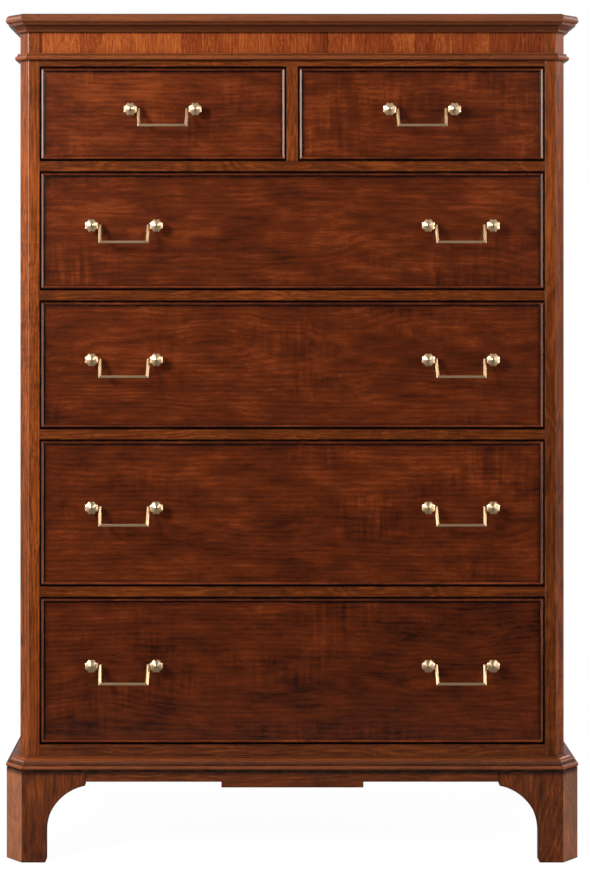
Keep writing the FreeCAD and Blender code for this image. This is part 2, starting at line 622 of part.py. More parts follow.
def bail(x, z):
    """Square bar bent at four mitres, its edges front and back, with a round pivot at each end."""
    out = Vector(1, 0, 0)
    down = Vector(0, -math.sin(LEAN), -math.cos(LEAN))
    normal = Vector(0, -math.cos(LEAN), math.sin(LEAN))
    centre = Vector(x, PIVOT_Y, z)
    half = PULL_CENTRES / 2
    start = half - NECK_FLATS / 2 - NECK_GAP
    knee = half - ARM_INSET
    left = [(-start, 0), (-knee, 0), (-knee + ARM_SPLAY, BAIL_LENGTH)]
    path = left + [(-across, fall) for across, fall in reversed(left)]
    points = [centre + out * across + down * fall for across, fall in path]
    rings = []
    for i, point in enumerate(points):
        before = (point - points[i - 1]).normalize() if i else out
        after = (points[i + 1] - point).normalize() if i < len(points) - 1 else out
        side = (normal.cross(before) + normal.cross(after)).normalize()
        side = side * (BAR_HALF / side.dot(normal.cross(before)))
        rings.append([point + side, point + normal * BAR_HALF, point - side, point - normal * BAR_HALF])
    bar = faceted(rings)
    reach = half + PIVOT_DEPTH - start
    pivots = [rod(points[0], -out, reach, PIVOT_RADIUS), rod(points[-1], out, reach, PIVOT_RADIUS)]
    return bar.fuse(pivots)


def pull_places(name, x_span, z_span):
    """Name, middle and height of each pull on a drawer."""
    z = (z_span[0] + z_span[1]) / 2 + PULL_RISE * (z_span[1] - z_span[0])
    if x_span[0] < 0 < x_span[1]:
        return [(f"{name}_bail_left", -PULL_OFFSET, z), (f"{name}_bail_right", PULL_OFFSET, z)]
    return [(f"{name}_bail", (x_span[0] + x_span[1]) / 2, z)]


def write_drawer(name, x_span, z_span):
    """Writes every node of one drawer and of its bails."""
    pulls = pull_places(name, x_span, z_span)
    ends = [(x + side * PULL_CENTRES / 2, z, -side) for _, x, z in pulls for side in (-1, 1)]
    for piece, shapes in drawer_box(x_span, z_span).items():
        write(f"{name}_{piece}", shapes)
    write(f"{name}_pulls", [pull_post(*end) for end in ends])
    for bail_name, x, z in pulls:
        write(bail_name, [bail(x, z)])


def main():
    os.makedirs("parts", exist_ok=True)
    write("top_board", top_board())
    write("cornice_moulding", cornice_moulding())
    write("frieze_board", frieze_board())
    write("waist_moulding", waist_moulding())
    write("base_moulding", base_moulding())
    write("drawer_rails", drawer_rails())
    write("runner_frames", runner_frames())
    write("dust_panels", dust_panels())
    write("drawer_stops", drawer_stops())
    write("top_drawer_divider", top_drawer_divider())
    write("back_panel", back_panel())
    write("aprons", aprons())
    for side, place in (("left", lambda shape: shape), ("right", mirrored)):
        write(f"corner_post_{side}", [place(corner_post())])
        write(f"side_panel_{side}", [place(side_panel())])
        write(f"foot_front_{side}", [place(piece) for piece in front_foot()])
        write(f"foot_rear_{side}", [place(piece) for piece in rear_foot()])
    for name, x_span, z_span in drawers():
        write_drawer(name, x_span, z_span)


main()
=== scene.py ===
"""Looks of a tall chest of drawers with canted front corners: cherry case, cock-beaded drawers, brass bails.

Sizes are in millimetres in the classes and become metres where a mesh is made. X runs to the right,
Y to the back and Z up, with the origin on the floor below the middle of the cornice's plan.
"""
from __future__ import annotations

import logging
import math
from dataclasses import dataclass, field
from enum import Enum

import bpy
import numpy as np
from numpy.typing import NDArray
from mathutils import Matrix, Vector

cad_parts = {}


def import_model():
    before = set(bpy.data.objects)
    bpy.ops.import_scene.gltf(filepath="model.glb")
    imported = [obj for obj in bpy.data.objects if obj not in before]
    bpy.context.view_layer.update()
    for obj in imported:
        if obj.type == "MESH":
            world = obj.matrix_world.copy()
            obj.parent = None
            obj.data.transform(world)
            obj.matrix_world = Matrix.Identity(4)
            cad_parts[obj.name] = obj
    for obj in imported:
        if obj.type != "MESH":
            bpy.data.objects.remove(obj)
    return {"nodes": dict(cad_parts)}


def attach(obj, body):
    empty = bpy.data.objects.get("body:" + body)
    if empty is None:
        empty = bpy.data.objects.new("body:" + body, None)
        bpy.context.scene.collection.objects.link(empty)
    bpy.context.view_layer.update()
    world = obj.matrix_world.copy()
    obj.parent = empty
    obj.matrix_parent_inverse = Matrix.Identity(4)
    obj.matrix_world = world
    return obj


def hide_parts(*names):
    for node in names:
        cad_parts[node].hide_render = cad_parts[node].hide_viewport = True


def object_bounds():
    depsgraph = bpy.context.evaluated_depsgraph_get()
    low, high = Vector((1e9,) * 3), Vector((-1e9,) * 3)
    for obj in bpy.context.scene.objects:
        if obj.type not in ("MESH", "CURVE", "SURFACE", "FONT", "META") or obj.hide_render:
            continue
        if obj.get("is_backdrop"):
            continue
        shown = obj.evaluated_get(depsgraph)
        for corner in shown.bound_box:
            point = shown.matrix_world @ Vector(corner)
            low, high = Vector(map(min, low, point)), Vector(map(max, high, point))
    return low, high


Array = NDArray[np.float64]
Span = tuple[float, float]
Point = tuple[float, float, float]
Floats = tuple[float, ...]
Material = bpy.types.Material
Socket = bpy.types.NodeSocket
Tree = bpy.types.NodeTree
MM = 0.001
SHARP = math.radians(34)        # an edge that turns by more than this has a hard line in its shading
BEVEL_FROM = math.radians(14)   # an edge that turns by more than this takes the live bevel
BEVEL_STEPS = 2
ARRIS_STEPS = 3                 # segments round each eased arris
CORNER_SHARE = 1.3              # corners are rounder than arrises, so that an outline can be drawn in
FIELD_SHARE = 0.4               # corners of a face's border of painted shade, as a share of the arrises' radius
LOG_REACH = np.array([19.0, 0.06, 0.03])    # boards' spread in the tree, in m: along, across, through
OTHER_SIDE = 500                # added to a board's seed for the same board on the other side
log = logging.getLogger("chest")


# ---------------- outlines and shells

def unit(vectors: Array) -> Array:
    """Vectors scaled to length one along the last axis."""
    return vectors / np.linalg.norm(vectors, axis=-1, keepdims=True)


def ease_corners(points: Array, radius: float | Array, steps: int, closed: bool) -> Array:
    """Replaces the corners of a path by arcs.

    Each arc's centre lies on the corner's bisector at radius / sin(half the corner's angle), and its
    points turn from one tangent point to the other: centre + (sin((1 - k) t) a + sin(k t) b) / sin(t).

    Args:
        points: Corners, (..., N, 2).
        radius: One radius, or one for each corner.
        steps: Number of segments in each arc.
        closed: True for a ring; an open path keeps its two ends.

    Returns:
        The eased path, (..., M, 2).
    """
    before = unit(np.roll(points, 1, axis=-2) - points)
    after = unit(np.roll(points, -1, axis=-2) - points)
    half = np.arccos(np.clip((before * after).sum(-1), -1, 1)) / 2
    radii = np.broadcast_to(radius, half.shape)
    centre = points + unit(before + after) * (radii / np.sin(half))[..., None]
    reach = (radii / np.tan(half))[..., None]
    first = (points + before * reach - centre)[..., None, :]
    last = (points + after * reach - centre)[..., None, :]
    turn = (math.pi - 2 * half)[..., None, None]
    share = np.linspace(0, 1, steps + 1)[:, None]
    swept = (np.sin((1 - share) * turn) * first + np.sin(share * turn) * last) / np.sin(turn)
    arcs = centre[..., None, :] + swept
    if closed:
        return arcs.reshape(*points.shape[:-2], -1, 2)
    inner = arcs[..., 1:-1, :, :].reshape(*points.shape[:-2], -1, 2)
    return np.concatenate([points[..., :1, :], inner, points[..., -1:, :]], axis=-2)


def arc(start: Span, via: Span, end: Span, steps: int) -> Array:
    """Points on the circle through three points, from the first to the last.

    Args:
        start: First point.
        via: A point between.
        end: Last point.
        steps: Number of segments.

    Returns:
        Points, (steps + 1, 2).
    """
    a, b, c = (complex(*p) for p in (start, via, end))
    w = (c - a) / (b - a)
    centre = (b - a) * (w - abs(w) ** 2) / (2j * w.imag) + a
    first, middle, last = (np.angle(p - centre) for p in (a, b, c))
    sweep = (last - first) % (2 * math.pi)
    if (middle - first) % (2 * math.pi) > sweep:
        sweep -= 2 * math.pi
    angles = first + np.linspace(0, 1, steps + 1) * sweep
    return np.stack([centre.real + abs(a - centre) * np.cos(angles),
                     centre.imag + abs(a - centre) * np.sin(angles)], axis=-1)


def quarter(radius: float, steps: int = ARRIS_STEPS) -> tuple[Array, Array]:
    """How far a quarter circle is in from the edge and down from the face.

    Over t from 0 to 90 degrees, in is radius (1 - sin t) and down is radius (1 - cos t).

    Args:
        radius: Its radius.
        steps: Number of segments.

    Returns:
        In and down, (steps + 1,) each, from the face's end of the edge.
    """
    t = np.linspace(0, math.pi / 2, steps + 1)
    return radius * (1 - np.sin(t)), radius * (1 - np.cos(t))


def drawn_in(ring: Array, inset: Array) -> Array:
    """A closed outline moved inwards by each inset.

    Each point moves along (n1 + n2) / (1 + n1 . n2), where n1 and n2 are the normals of its two sides.

    Args:
        ring: Outline, (C, 2).
        inset: Distances, (R,).

    Returns:
        Outlines, (R, C, 2).
    """
    x, y = ring.T
    way = np.sign(np.sum(x * np.roll(y, -1) - np.roll(x, -1) * y))
    ahead = unit(np.roll(ring, -1, axis=0) - ring)
    normal = way * np.stack([ahead[:, 1], -ahead[:, 0]], axis=-1)
    back = np.roll(normal, 1, axis=0)
    mitre = (normal + back) / (1 + (normal * back).sum(-1, keepdims=True))
    return ring - np.asarray(inset)[:, None, None] * mitre


@dataclass(frozen=True)
class Stock:
    """The piece of timber that a board is cut from.

    Attributes:
        along: Direction of the grain.
        face: Direction that the board's show face looks in.
        seed: Picks the place in the tree, so that no two boards match.
        tone: How much lighter than the finish's own colour the board is.
    """
    along: Point
    face: Point
    seed: int
    tone: float = 0.0

    def coordinates(self, points: Array) -> Array:
        """Place of each point in the log: along the grain, across the face and through it.

        Args:
            points: The board's points, in metres, (N, 3).

        Returns:
            Their places in the log, in metres, (N, 3).
        """
        along, face = unit(np.array(self.along)), unit(np.array(self.face))
        axes = np.stack([along, np.cross(face, along), face], axis=-1)
        draw = np.random.default_rng(self.seed).uniform(-1, 1, 3)
        middle = (points.min(axis=0) + points.max(axis=0)) / 2
        return (points - middle) @ axes + draw * LOG_REACH


X_AXIS, Y_AXIS, Z_AXIS = (1.0, 0.0, 0.0), (0.0, 1.0, 0.0), (0.0, 0.0, 1.0)
FRONT, LEFT = (0.0, -1.0, 0.0), (-1.0, 0.0, 0.0)
# grain and show face of a moulding's five sticks, from the left side round the front to the right side
STICKS = ((Y_AXIS, LEFT), ((1.0, -1.0, 0.0), (-1.0, -1.0, 0.0)), (X_AXIS, FRONT),
          ((1.0, 1.0, 0.0), (1.0, -1.0, 0.0)), (Y_AXIS, X_AXIS))


@dataclass
class Shell:
    """A closed surface: a ring of points carried over stations, with a flat face at each end.

    Attributes:
        grid: Points in millimetres, (stations, ring, 3).
        stocks: Timber that the faces are cut from; empty for metal.
        stock_of: Which stock each face takes, (stations - 1, ring), or none for the first one.
        glaze_and_shade: How dark each point is painted, 0 to 1: glazing, and painted shade in creases,
            gaps and under overhangs.
        painted_highlight: How strong the pale highlight painted at each point is, 0 to 1.
        facets: True where each face between two rings is split in two flat triangles.
    """
    grid: Array
    stocks: list[Stock] = field(default_factory=list)
    stock_of: Array | None = None
    glaze_and_shade: Array | float = 0.0
    painted_highlight: Array | float = 0.0
    facets: bool = False

    def faces(self) -> tuple[list[list[int]], Array]:
        """Faces of the shell, turned so that they look outwards.

        The sum of each corner triangle's cross product with its third corner is six times the volume, and
        its sign says which way the faces look.

        Returns:
            Each face as point numbers, and the stock number of each face.
        """
        stations, ring, _ = self.grid.shape
        number = np.arange(stations * ring).reshape(stations, ring)
        beside = np.roll(number, -1, axis=1)
        quads = np.stack([number[:-1], beside[:-1], beside[1:], number[1:]], axis=-1).reshape(-1, 4)
        stock = np.zeros((stations - 1, ring), int) if self.stock_of is None else self.stock_of
        stock = np.broadcast_to(stock, (stations - 1, ring)).ravel()
        ends = [number[0, ::-1], number[-1]]
        points = self.grid.reshape(-1, 3)
        corner = points[quads]
        volume = np.sum(np.cross(corner[:, 0], corner[:, 1]) * corner[:, 2])
        volume += np.sum(np.cross(corner[:, 0], corner[:, 2]) * corner[:, 3])
        for end in ends:
            cap = points[end]
            volume += np.sum(np.cross(cap[1:-1], cap[2:]) @ cap[0])
        if self.facets:
            quads = np.concatenate([quads[:, [0, 1, 3]], quads[:, [1, 2, 3]]])
            stock = np.concatenate([stock, stock])
        order = 1 if volume > 0 else -1
        made = [face[::order].tolist() for face in quads] + [end[::order].tolist() for end in ends]
        return made, np.concatenate([stock, stock[:1], stock[-1:]])


def write_attribute(mesh: bpy.types.Mesh, name: str, values: Array) -> None:
    """Stores one vector for each face corner of a mesh."""
    layer = mesh.attributes.new(name, "FLOAT_VECTOR", "CORNER")
    layer.data.foreach_set("vector", values.astype(np.float32).ravel())


def build(name: str, shells: list[Shell], finish: Material, bevel: float = 0.0) -> bpy.types.Object:
    """Makes one object of several shells, with its timber coordinates and finish values as attributes.

    Args:
        name: The piece's name.
        shells: Its closed surfaces, in millimetres.
        finish: Its material.
        bevel: Width of a live bevel on its edges, in millimetres, or none.

    Returns:
        The object, with its place in its mesh.
    """
    points, faces, wood, values = [], [], [], []
    for shell in shells:
        start = sum(len(block) for block in points)
        place = shell.grid.reshape(-1, 3) * MM
        made, stock_of = shell.faces()
        faces += [[start + i for i in face] for face in made]
        points.append(place)
        corners = np.concatenate([np.array(face) for face in made])
        owner = np.repeat(stock_of, [len(face) for face in made])
        size = shell.grid.shape[:2]
        glaze_and_shade = np.broadcast_to(shell.glaze_and_shade, size).ravel()[corners]
        painted_highlight = np.broadcast_to(shell.painted_highlight, size).ravel()[corners]
        tone = np.array([stock.tone for stock in shell.stocks] or [0.0])[owner]
        in_log = np.stack([stock.coordinates(place) for stock in shell.stocks] or [place])
        wood.append(in_log[owner, corners])
        values.append(np.stack([tone, glaze_and_shade, painted_highlight], axis=-1))
    mesh = bpy.data.meshes.new(name)
    mesh.from_pydata(np.concatenate(points).tolist(), [], faces)
    write_attribute(mesh, "wood", np.concatenate(wood))
    # finish holds each corner's tone, its glazing and painted shade, and its painted highlight
    write_attribute(mesh, "finish", np.concatenate(values))
    mesh.materials.append(finish)
    mesh.shade_smooth()
    mesh.set_sharp_from_angle(angle=SHARP)
    piece = bpy.data.objects.new(name, mesh)
    bpy.context.scene.collection.objects.link(piece)
    if bevel:
        rounding = piece.modifiers.new("arrises", "BEVEL")
        rounding.width, rounding.segments, rounding.angle_limit = bevel * MM, BEVEL_STEPS, BEVEL_FROM
    weight = piece.modifiers.new("flat faces", "WEIGHTED_NORMAL")
    weight.keep_sharp = True
    log.info("%s: %d faces", name, len(faces))
    return piece


def hand_over(piece: bpy.types.Object, body: str, slot: str, *nodes: str) -> None:
    """Lets a finished piece stand for its nodes and ride on its body.

    Args:
        piece: The piece.
        body: Body that carries it.
        slot: Not used.
        *nodes: CAD nodes that it replaces.
    """
    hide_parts(*nodes)
    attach(piece, body)


def slab(outline: Array, low: float, high: float, ease: float, axes: str) -> Array:
    """A board: its outline carried through its thickness, drawn in at both arrises.

    Each arris is a quarter circle.

    Args:
        outline: Closed outline, (C, 2), whose corners have arcs larger than the ease.
        low: First face.
        high: Second face.
        ease: Radius of the arrises.
        axes: The axes of the outline's two coordinates and of the thickness, such as "xzy".

    Returns:
        Grid of points, (stations, C, 3).
    """
    inset, depth = quarter(ease)
    insets = np.concatenate([inset, inset[::-1]])
    levels = np.concatenate([low + depth, high - depth[::-1]])
    rings = drawn_in(outline, insets)
    grid = np.empty((*rings.shape[:2], 3))
    first, second, through = ("xyz".index(axis) for axis in axes)
    grid[..., first], grid[..., second] = rings[..., 0], rings[..., 1]
    grid[..., through] = levels[:, None]
    return grid


def block(x: Span, y: Span, z: Span, ease: float, stock: Stock, through: str = "y",
          margin: float = 0.0) -> Shell:
    """A squared board with eased arrises.

    Args:
        x: Span to the right.
        y: Span to the back.
        z: Span upwards.
        ease: Radius of its arrises.
        stock: Timber that it is cut from.
        through: Axis of its thickness.
        margin: Width of a border on both faces, which keeps the painted shade at their edges, or none.

    Returns:
        The board.
    """
    spans = {"x": x, "y": y, "z": z}
    first, second = [axis for axis in "xyz" if axis != through]
    (a, b), (c, d) = sorted(spans[first]), sorted(spans[second])
    corners = np.array([(a, c), (b, c), (b, d), (a, d)])
    low, high = sorted(spans[through])
    outline = ease_corners(corners, ease * CORNER_SHARE, ARRIS_STEPS, True)
    grid = slab(outline, low, high, ease, first + second + through)
    if margin:
        inner = ease_corners(drawn_in(corners, [margin])[0], ease * FIELD_SHARE, ARRIS_STEPS, True)
        faces = grid[[0, -1]]
        faces[..., "xyz".index(first)], faces[..., "xyz".index(second)] = inner.T
        grid = np.concatenate([faces[:1], grid, faces[1:]])
    return Shell(grid, [stock])


def mirrored(shell: Shell) -> Shell:
    """The same shell on the other side of the chest, cut from other timber.

    Args:
        shell: The left side's shell.

    Returns:
        The right side's.
    """
    grid = shell.grid * np.array([-1.0, 1.0, 1.0])
    stocks = [Stock((-s.along[0], *s.along[1:]), (-s.face[0], *s.face[1:]), s.seed + OTHER_SIDE, s.tone)
              for s in shell.stocks]
    return Shell(grid, stocks, shell.stock_of, shell.glaze_and_shade, shell.painted_highlight, shell.facets)


def on_side(shell: Shell, side: str) -> Shell:
    """The left side's shell as it stands on the named side."""
    return shell if side == "left" else mirrored(shell)


# ---------------- finishes

def linear(code: str) -> tuple[float, float, float, float]:
    """Turns an sRGB hex colour to linear light."""
    parts = (int(code[i:i + 2], 16) / 255 for i in (1, 3, 5))
    return (*(c / 12.92 if c <= 0.04045 else ((c + 0.055) / 1.055) ** 2.4 for c in parts), 1.0)


MIX_A, MIX_B, MIX_COLOUR = 6, 7, 2      # numbers of a colour Mix node's two inputs and its output


def add(tree: Tree, kind: str, values: dict[str | int, object] | None = None,
        **settings: object) -> bpy.types.Node:
    """Adds a node, sets its settings, and sets or links its inputs.

    Args:
        tree: Node tree that takes it.
        kind: Blender's name for the node, without its ShaderNode prefix.
        values: Inputs by name or number; a socket is linked, anything else is set.
        **settings: The node's own settings.

    Returns:
        The node.
    """
    made = tree.nodes.new("ShaderNode" + kind)
    for key, value in settings.items():
        setattr(made, key, value)
    for key, value in (values or {}).items():
        if isinstance(value, Socket):
            tree.links.new(value, made.inputs[key])
        else:
            made.inputs[key].default_value = value
    return made


class Grain(Enum):
    """Where a wood finish reads the direction of its grain: from the board's timber, or from an axis."""
    TIMBER = "timber"
    ACROSS = "across"
    DEEP = "deep"
    UPRIGHT = "upright"


WOOD_IOR, LACQUER_IOR = 1.45, 1.5
GLAZE_AND_SHADE_SCALE = 55.0      # patches of thinner and thicker glazing and painted shade to a metre, each about 18 mm
SPECK_SCALE = 230.0     # places for a dark speck to a metre, about 4 mm apart
DARK_AT, MIDDLE_AT, LIGHT_AT = 0.18, 0.5, 0.82      # lightness at which each of a wood's colours is reached
GRAIN_TURN = {Grain.ACROSS: (0.0, 0.0, 0.0), Grain.DEEP: (0.0, 0.0, math.pi / 2),
              Grain.UPRIGHT: (0.0, math.pi / 2, 0.0)}


@dataclass(frozen=True)
class WoodFinish:
    """A wood under its finish.

    Attributes:
        name: The real material and how it was finished.
        dark: Colour of its darkest streaks.
        middle: Its usual colour.
        light: Colour of its palest streaks.
        glaze_and_shade: Colour that its glazing and its painted shade turn it to.
        painted_glint: Colour of the pale highlight painted on its arrises and beads.
        ring: Spacing of its growth rings, in mm.
        streak: Width and length of its usual streaks, in mm.
        streaks: How much the streaks show.
        pore: Width and length of its pores, in mm.
        pores: How much the pores show.
        patch: Width and length of its broad patches, in mm.
        patches: How much the patches show.
        curl: Strength of the cross figure.
        curl_size: Width and length of one curl, in mm.
        curl_area: Width and length of the areas that curl, in mm.
        ring_share: How much the growth rings show.
        blotch: How unevenly the stain took.
        blotch_size: Width and length of the stain's blotches, in mm.
        specks: How many small dark marks of distressing it has, 0 to 1.
        roughness: Roughness of its surface.
        dull: How much rougher its pores are.
        sleek: How much smoother its raised fibres are.
        relief: Height of its fibres, in mm.
        relief_share: How much of that height shows through the finish.
        coat: Weight of its lacquer.
        coat_roughness: Roughness of its lacquer.
    """
    name: str
    dark: str
    middle: str
    light: str
    glaze_and_shade: str = "#140603"
    painted_glint: str = "#E4BBA0"
    ring: float = 6.0
    streak: Span = (5.0, 150.0)
    streaks: float = 0.58
    pore: Span = (0.5, 9.0)
    pores: float = 0.35
    patch: Span = (120.0, 420.0)
    patches: float = 0.3
    curl: float = 0.0
    curl_size: Span = (75.0, 9.0)
    curl_area: Span = (90.0, 240.0)
    ring_share: float = 0.1
    blotch: float = 0.3
    blotch_size: Span = (30.0, 75.0)
    specks: float = 0.0
    roughness: float = 0.25
    dull: float = 0.06
    sleek: float = 0.05
    relief: float = 0.08
    relief_share: float = 0.25
    coat: float = 0.06
    coat_roughness: float = 0.14

    def material(self, grain: Grain) -> Material:
        """Makes the finish's material for one source of grain.

        Args:
            grain: Where the grain's direction comes from.

        Returns:
            The material.
        """
        made = bpy.data.materials.new(f"{self.name}_{grain.value}")
        made.use_nodes = True
        tree = made.node_tree
        tree.nodes.clear()
        if grain is Grain.TIMBER:
            place = add(tree, "Attribute", attribute_name="wood").outputs["Vector"]
        else:
            whole = add(tree, "TexCoord").outputs["Object"]
            place = add(tree, "Mapping", {"Vector": whole, "Rotation": GRAIN_TURN[grain]}).outputs["Vector"]
        value, fibre = self.figure(tree, place)
        # the finish attribute: X the board's tone, Y glazing and painted shade, Z painted highlight
        finish = add(tree, "Attribute", attribute_name="finish").outputs["Vector"]
        marks = add(tree, "SeparateXYZ", {0: finish})
        value = add(tree, "Math", {0: value, 1: marks.outputs["X"]}, operation="ADD").outputs[0]
        ramp = add(tree, "ValToRGB", {"Fac": value})
        stops = ramp.color_ramp.elements
        stops[0].position, stops[0].color = DARK_AT, linear(self.dark)
        stops[1].position, stops[1].color = LIGHT_AT, linear(self.light)
        stops.new(MIDDLE_AT).color = linear(self.middle)
        colour = self.glint_shade_and_specks(tree, ramp.outputs["Color"], place, marks)
        bump = add(tree, "Bump", {"Strength": self.relief_share, "Distance": self.relief * MM,
                                  "Height": fibre})
        shine = add(tree, "MapRange", {"Value": fibre, "To Min": self.roughness + self.dull,
                                       "To Max": self.roughness - self.sleek})
        shader = add(tree, "BsdfPrincipled", {
            "Base Color": colour, "Roughness": shine.outputs[0], "Normal": bump.outputs[0], "IOR": WOOD_IOR,
            "Coat Weight": self.coat, "Coat Roughness": self.coat_roughness, "Coat IOR": LACQUER_IOR})
        add(tree, "OutputMaterial", {"Surface": shader.outputs[0]})
        return made

    def figure(self, tree: Tree, place: Socket) -> tuple[Socket, Socket]:
        """Growth rings, streaks, pores, patches, blotches and curl of the wood.

        Its lightness is one half, plus each of these as its distance from one half times its weight.

        Args:
            tree: Node tree that takes them.
            place: Place in the log, in metres.

        Returns:
            Lightness of the wood, about 0 to 1, and the fine fibres alone.
        """
        def noise(width: float, length: float, detail: float, shift: float = 0.0) -> Socket:
            """Noise stretched along the grain, with features of this width and length in mm."""
            spot = add(tree, "Mapping", {"Vector": bent, "Scale": (1000 / length, 1000 / width, 1000 / width),
                                         "Location": (shift, shift, shift)})
            return add(tree, "TexNoise", {"Vector": spot.outputs[0], "Scale": 1.0, "Detail": detail,
                                          "Roughness": 0.55}).outputs["Fac"]

        def weigh(total: Socket | float, part: Socket, weight: Socket | float) -> Socket:
            """Adds a part's distance from one half, times a weight."""
            apart = add(tree, "Math", {0: part, 1: 0.5}, operation="SUBTRACT").outputs[0]
            return add(tree, "Math", {0: apart, 1: weight, 2: total}, operation="MULTIPLY_ADD").outputs[0]

        drift = add(tree, "Mapping", {"Vector": place, "Scale": (3.4, 8.0, 8.0)})
        sway = add(tree, "TexNoise", {"Vector": drift.outputs[0], "Scale": 1.0, "Detail": 2.0})
        pull = add(tree, "VectorMath", {0: sway.outputs["Color"], 1: (0.5, 0.5, 0.5)}, operation="SUBTRACT")
        pull = add(tree, "VectorMath", {0: pull.outputs[0], 1: (0.0, 0.022, 0.12)}, operation="MULTIPLY")
        bent = add(tree, "VectorMath", {0: place, 1: pull.outputs[0]}, operation="ADD").outputs[0]
        # the pith wanders close behind the face, so the rings cut it in nested flames; a ring wave of scale s
        # repeats every pi / (10 s) metres
        rings = add(tree, "TexWave", {"Vector": bent, "Scale": 100 * math.pi / self.ring, "Distortion": 1.2,
                                      "Detail": 2.0, "Detail Scale": 0.3}, wave_type="RINGS",
                    rings_direction="X", wave_profile="SIN").outputs["Fac"]
        width, length = self.streak
        fine = noise(*self.pore, detail=3.0, shift=3.7)
        value = weigh(0.5, rings, self.ring_share)
        value = weigh(value, noise(width, length, detail=4.0), self.streaks)
        value = weigh(value, noise(width / 3, length / 3, detail=3.0, shift=7.1), self.streaks)
        value = weigh(value, fine, self.pores)
        value = weigh(value, noise(*self.patch, detail=1.0, shift=1.3), self.patches)
        value = weigh(value, noise(*self.blotch_size, detail=2.5, shift=8.2), self.blotch)
        if self.curl:
            where = noise(*self.curl_area, detail=1.0, shift=5.9)
            where = add(tree, "MapRange", {"Value": where, "From Min": 0.5, "From Max": 0.7}).outputs[0]
            amount = add(tree, "Math", {0: where, 1: self.curl}, operation="MULTIPLY").outputs[0]
            value = weigh(value, noise(*self.curl_size, detail=1.5, shift=2.4), amount)
        return value, fine

    def glint_shade_and_specks(self, tree: Tree, colour: Socket, place: Socket, marks: bpy.types.Node) -> Socket:
        """Painted highlights, glazing and painted shade, and small dark marks over the wood's own colour.

        Args:
            tree: Node tree that takes them.
            colour: Colour of the wood.
            place: Place in the log, in metres.
            marks: Node whose Y is the glazing and painted shade, and Z the painted highlight.

        Returns:
            The finished colour.
        """
        # mix towards the pale colour of the highlight painted on arrises and beads
        painted_glint = add(tree, "Mix", {"Factor": marks.outputs["Z"], MIX_A: colour, MIX_B: linear(self.painted_glint)},
                     data_type="RGBA").outputs[MIX_COLOUR]
        uneven = add(tree, "TexNoise", {"Vector": place, "Scale": GLAZE_AND_SHADE_SCALE, "Detail": 3.0}).outputs["Fac"]
        uneven = add(tree, "MapRange", {"Value": uneven, "From Min": 0.3, "From Max": 0.7, "To Min": 0.75,
                                        "To Max": 1.15}).outputs[0]
        # then towards the dark colour of glazing and painted shade, in uneven patches
        amount = add(tree, "Math", {0: marks.outputs["Y"], 1: uneven}, operation="MULTIPLY", use_clamp=True)
        shaded = add(tree, "Mix", {"Factor": amount.outputs[0], MIX_A: painted_glint, MIX_B: linear(self.glaze_and_shade)},
                     data_type="RGBA").outputs[MIX_COLOUR]
        if not self.specks:
            return shaded
        spots = add(tree, "TexNoise", {"Vector": place, "Scale": SPECK_SCALE, "Detail": 2.0,
                                       "Roughness": 0.7})
        spots = add(tree, "MapRange", {"Value": spots.outputs["Fac"], "From Min": 0.66 - 0.05 * self.specks,
                                       "From Max": 0.74, "To Max": 0.75})
        return add(tree, "Mix", {"Factor": spots.outputs[0], MIX_A: shaded, MIX_B: linear(self.glaze_and_shade)},
                   data_type="RGBA").outputs[MIX_COLOUR]


# Solid cherry, stained and sealed, with a hand-rubbed dark glaze under satin lacquer: warm red-brown
# streaks, near-black lines in every quirk that are partly glazing and partly painted shade, and a soft sheen.
CASE_CHERRY = WoodFinish(
    "cherry_glazed_satin_lacquer", dark="#3A1709", middle="#69300F", light="#A5521F",
    streak=(6.0, 130.0), specks=0.3, curl=0.3)
# The same glazed cherry run into mouldings: straight, quiet grain, so the profile's lines read clearly.
MOULDED_CHERRY = WoodFinish(
    "cherry_moulded_glazed_satin_lacquer", dark="#3A1709", middle="#69300F", light="#A5521F",
    ring_share=0.03, streak=(3.0, 260.0), streaks=0.35, blotch=0.12)
# Flat-sawn cherry veneer on the drawer fronts, a shade deeper, with long dark streaks and patches of curl.
FRONT_CHERRY = WoodFinish(
    "cherry_veneer_glazed_satin_lacquer", dark="#2E1007", middle="#62270D", light="#98461D",
    ring=9.0, ring_share=0.07, streak=(4.5, 90.0), streaks=0.32, curl=0.5, blotch=0.6)
# Crossbanded veneer with upright grain, brighter than the case and laid in patches that don't match.
FRIEZE_VENEER = WoodFinish(
    "cherry_crossband_veneer_satin_lacquer", dark="#58220A", middle="#8D3D18", light="#C46A2C",
    streak=(2.8, 60.0), streaks=0.75, ring_share=0.05, blotch=0.2)
# Planed poplar under a thin sealer: pale and dull, with faint greenish streaks.
POPLAR = WoodFinish(
    "poplar_planed_sealed", dark="#A18B62", middle="#C3AC80", light="#D9C69C", glaze_and_shade="#7A6440",
    streak=(9.0, 220.0), roughness=0.55, coat=0.08, blotch=0.2)
# Sanded birch plywood: a rotary-cut face with wide soft figure.
PLYWOOD = WoodFinish(
    "birch_plywood_sanded", dark="#A98359", middle="#C5A079", light="#D8BB94", glaze_and_shade="#7A5A34",
    ring=26.0, ring_share=0.12, streak=(14.0, 300.0), streaks=0.26, blotch=0.15, roughness=0.6, coat=0.0)


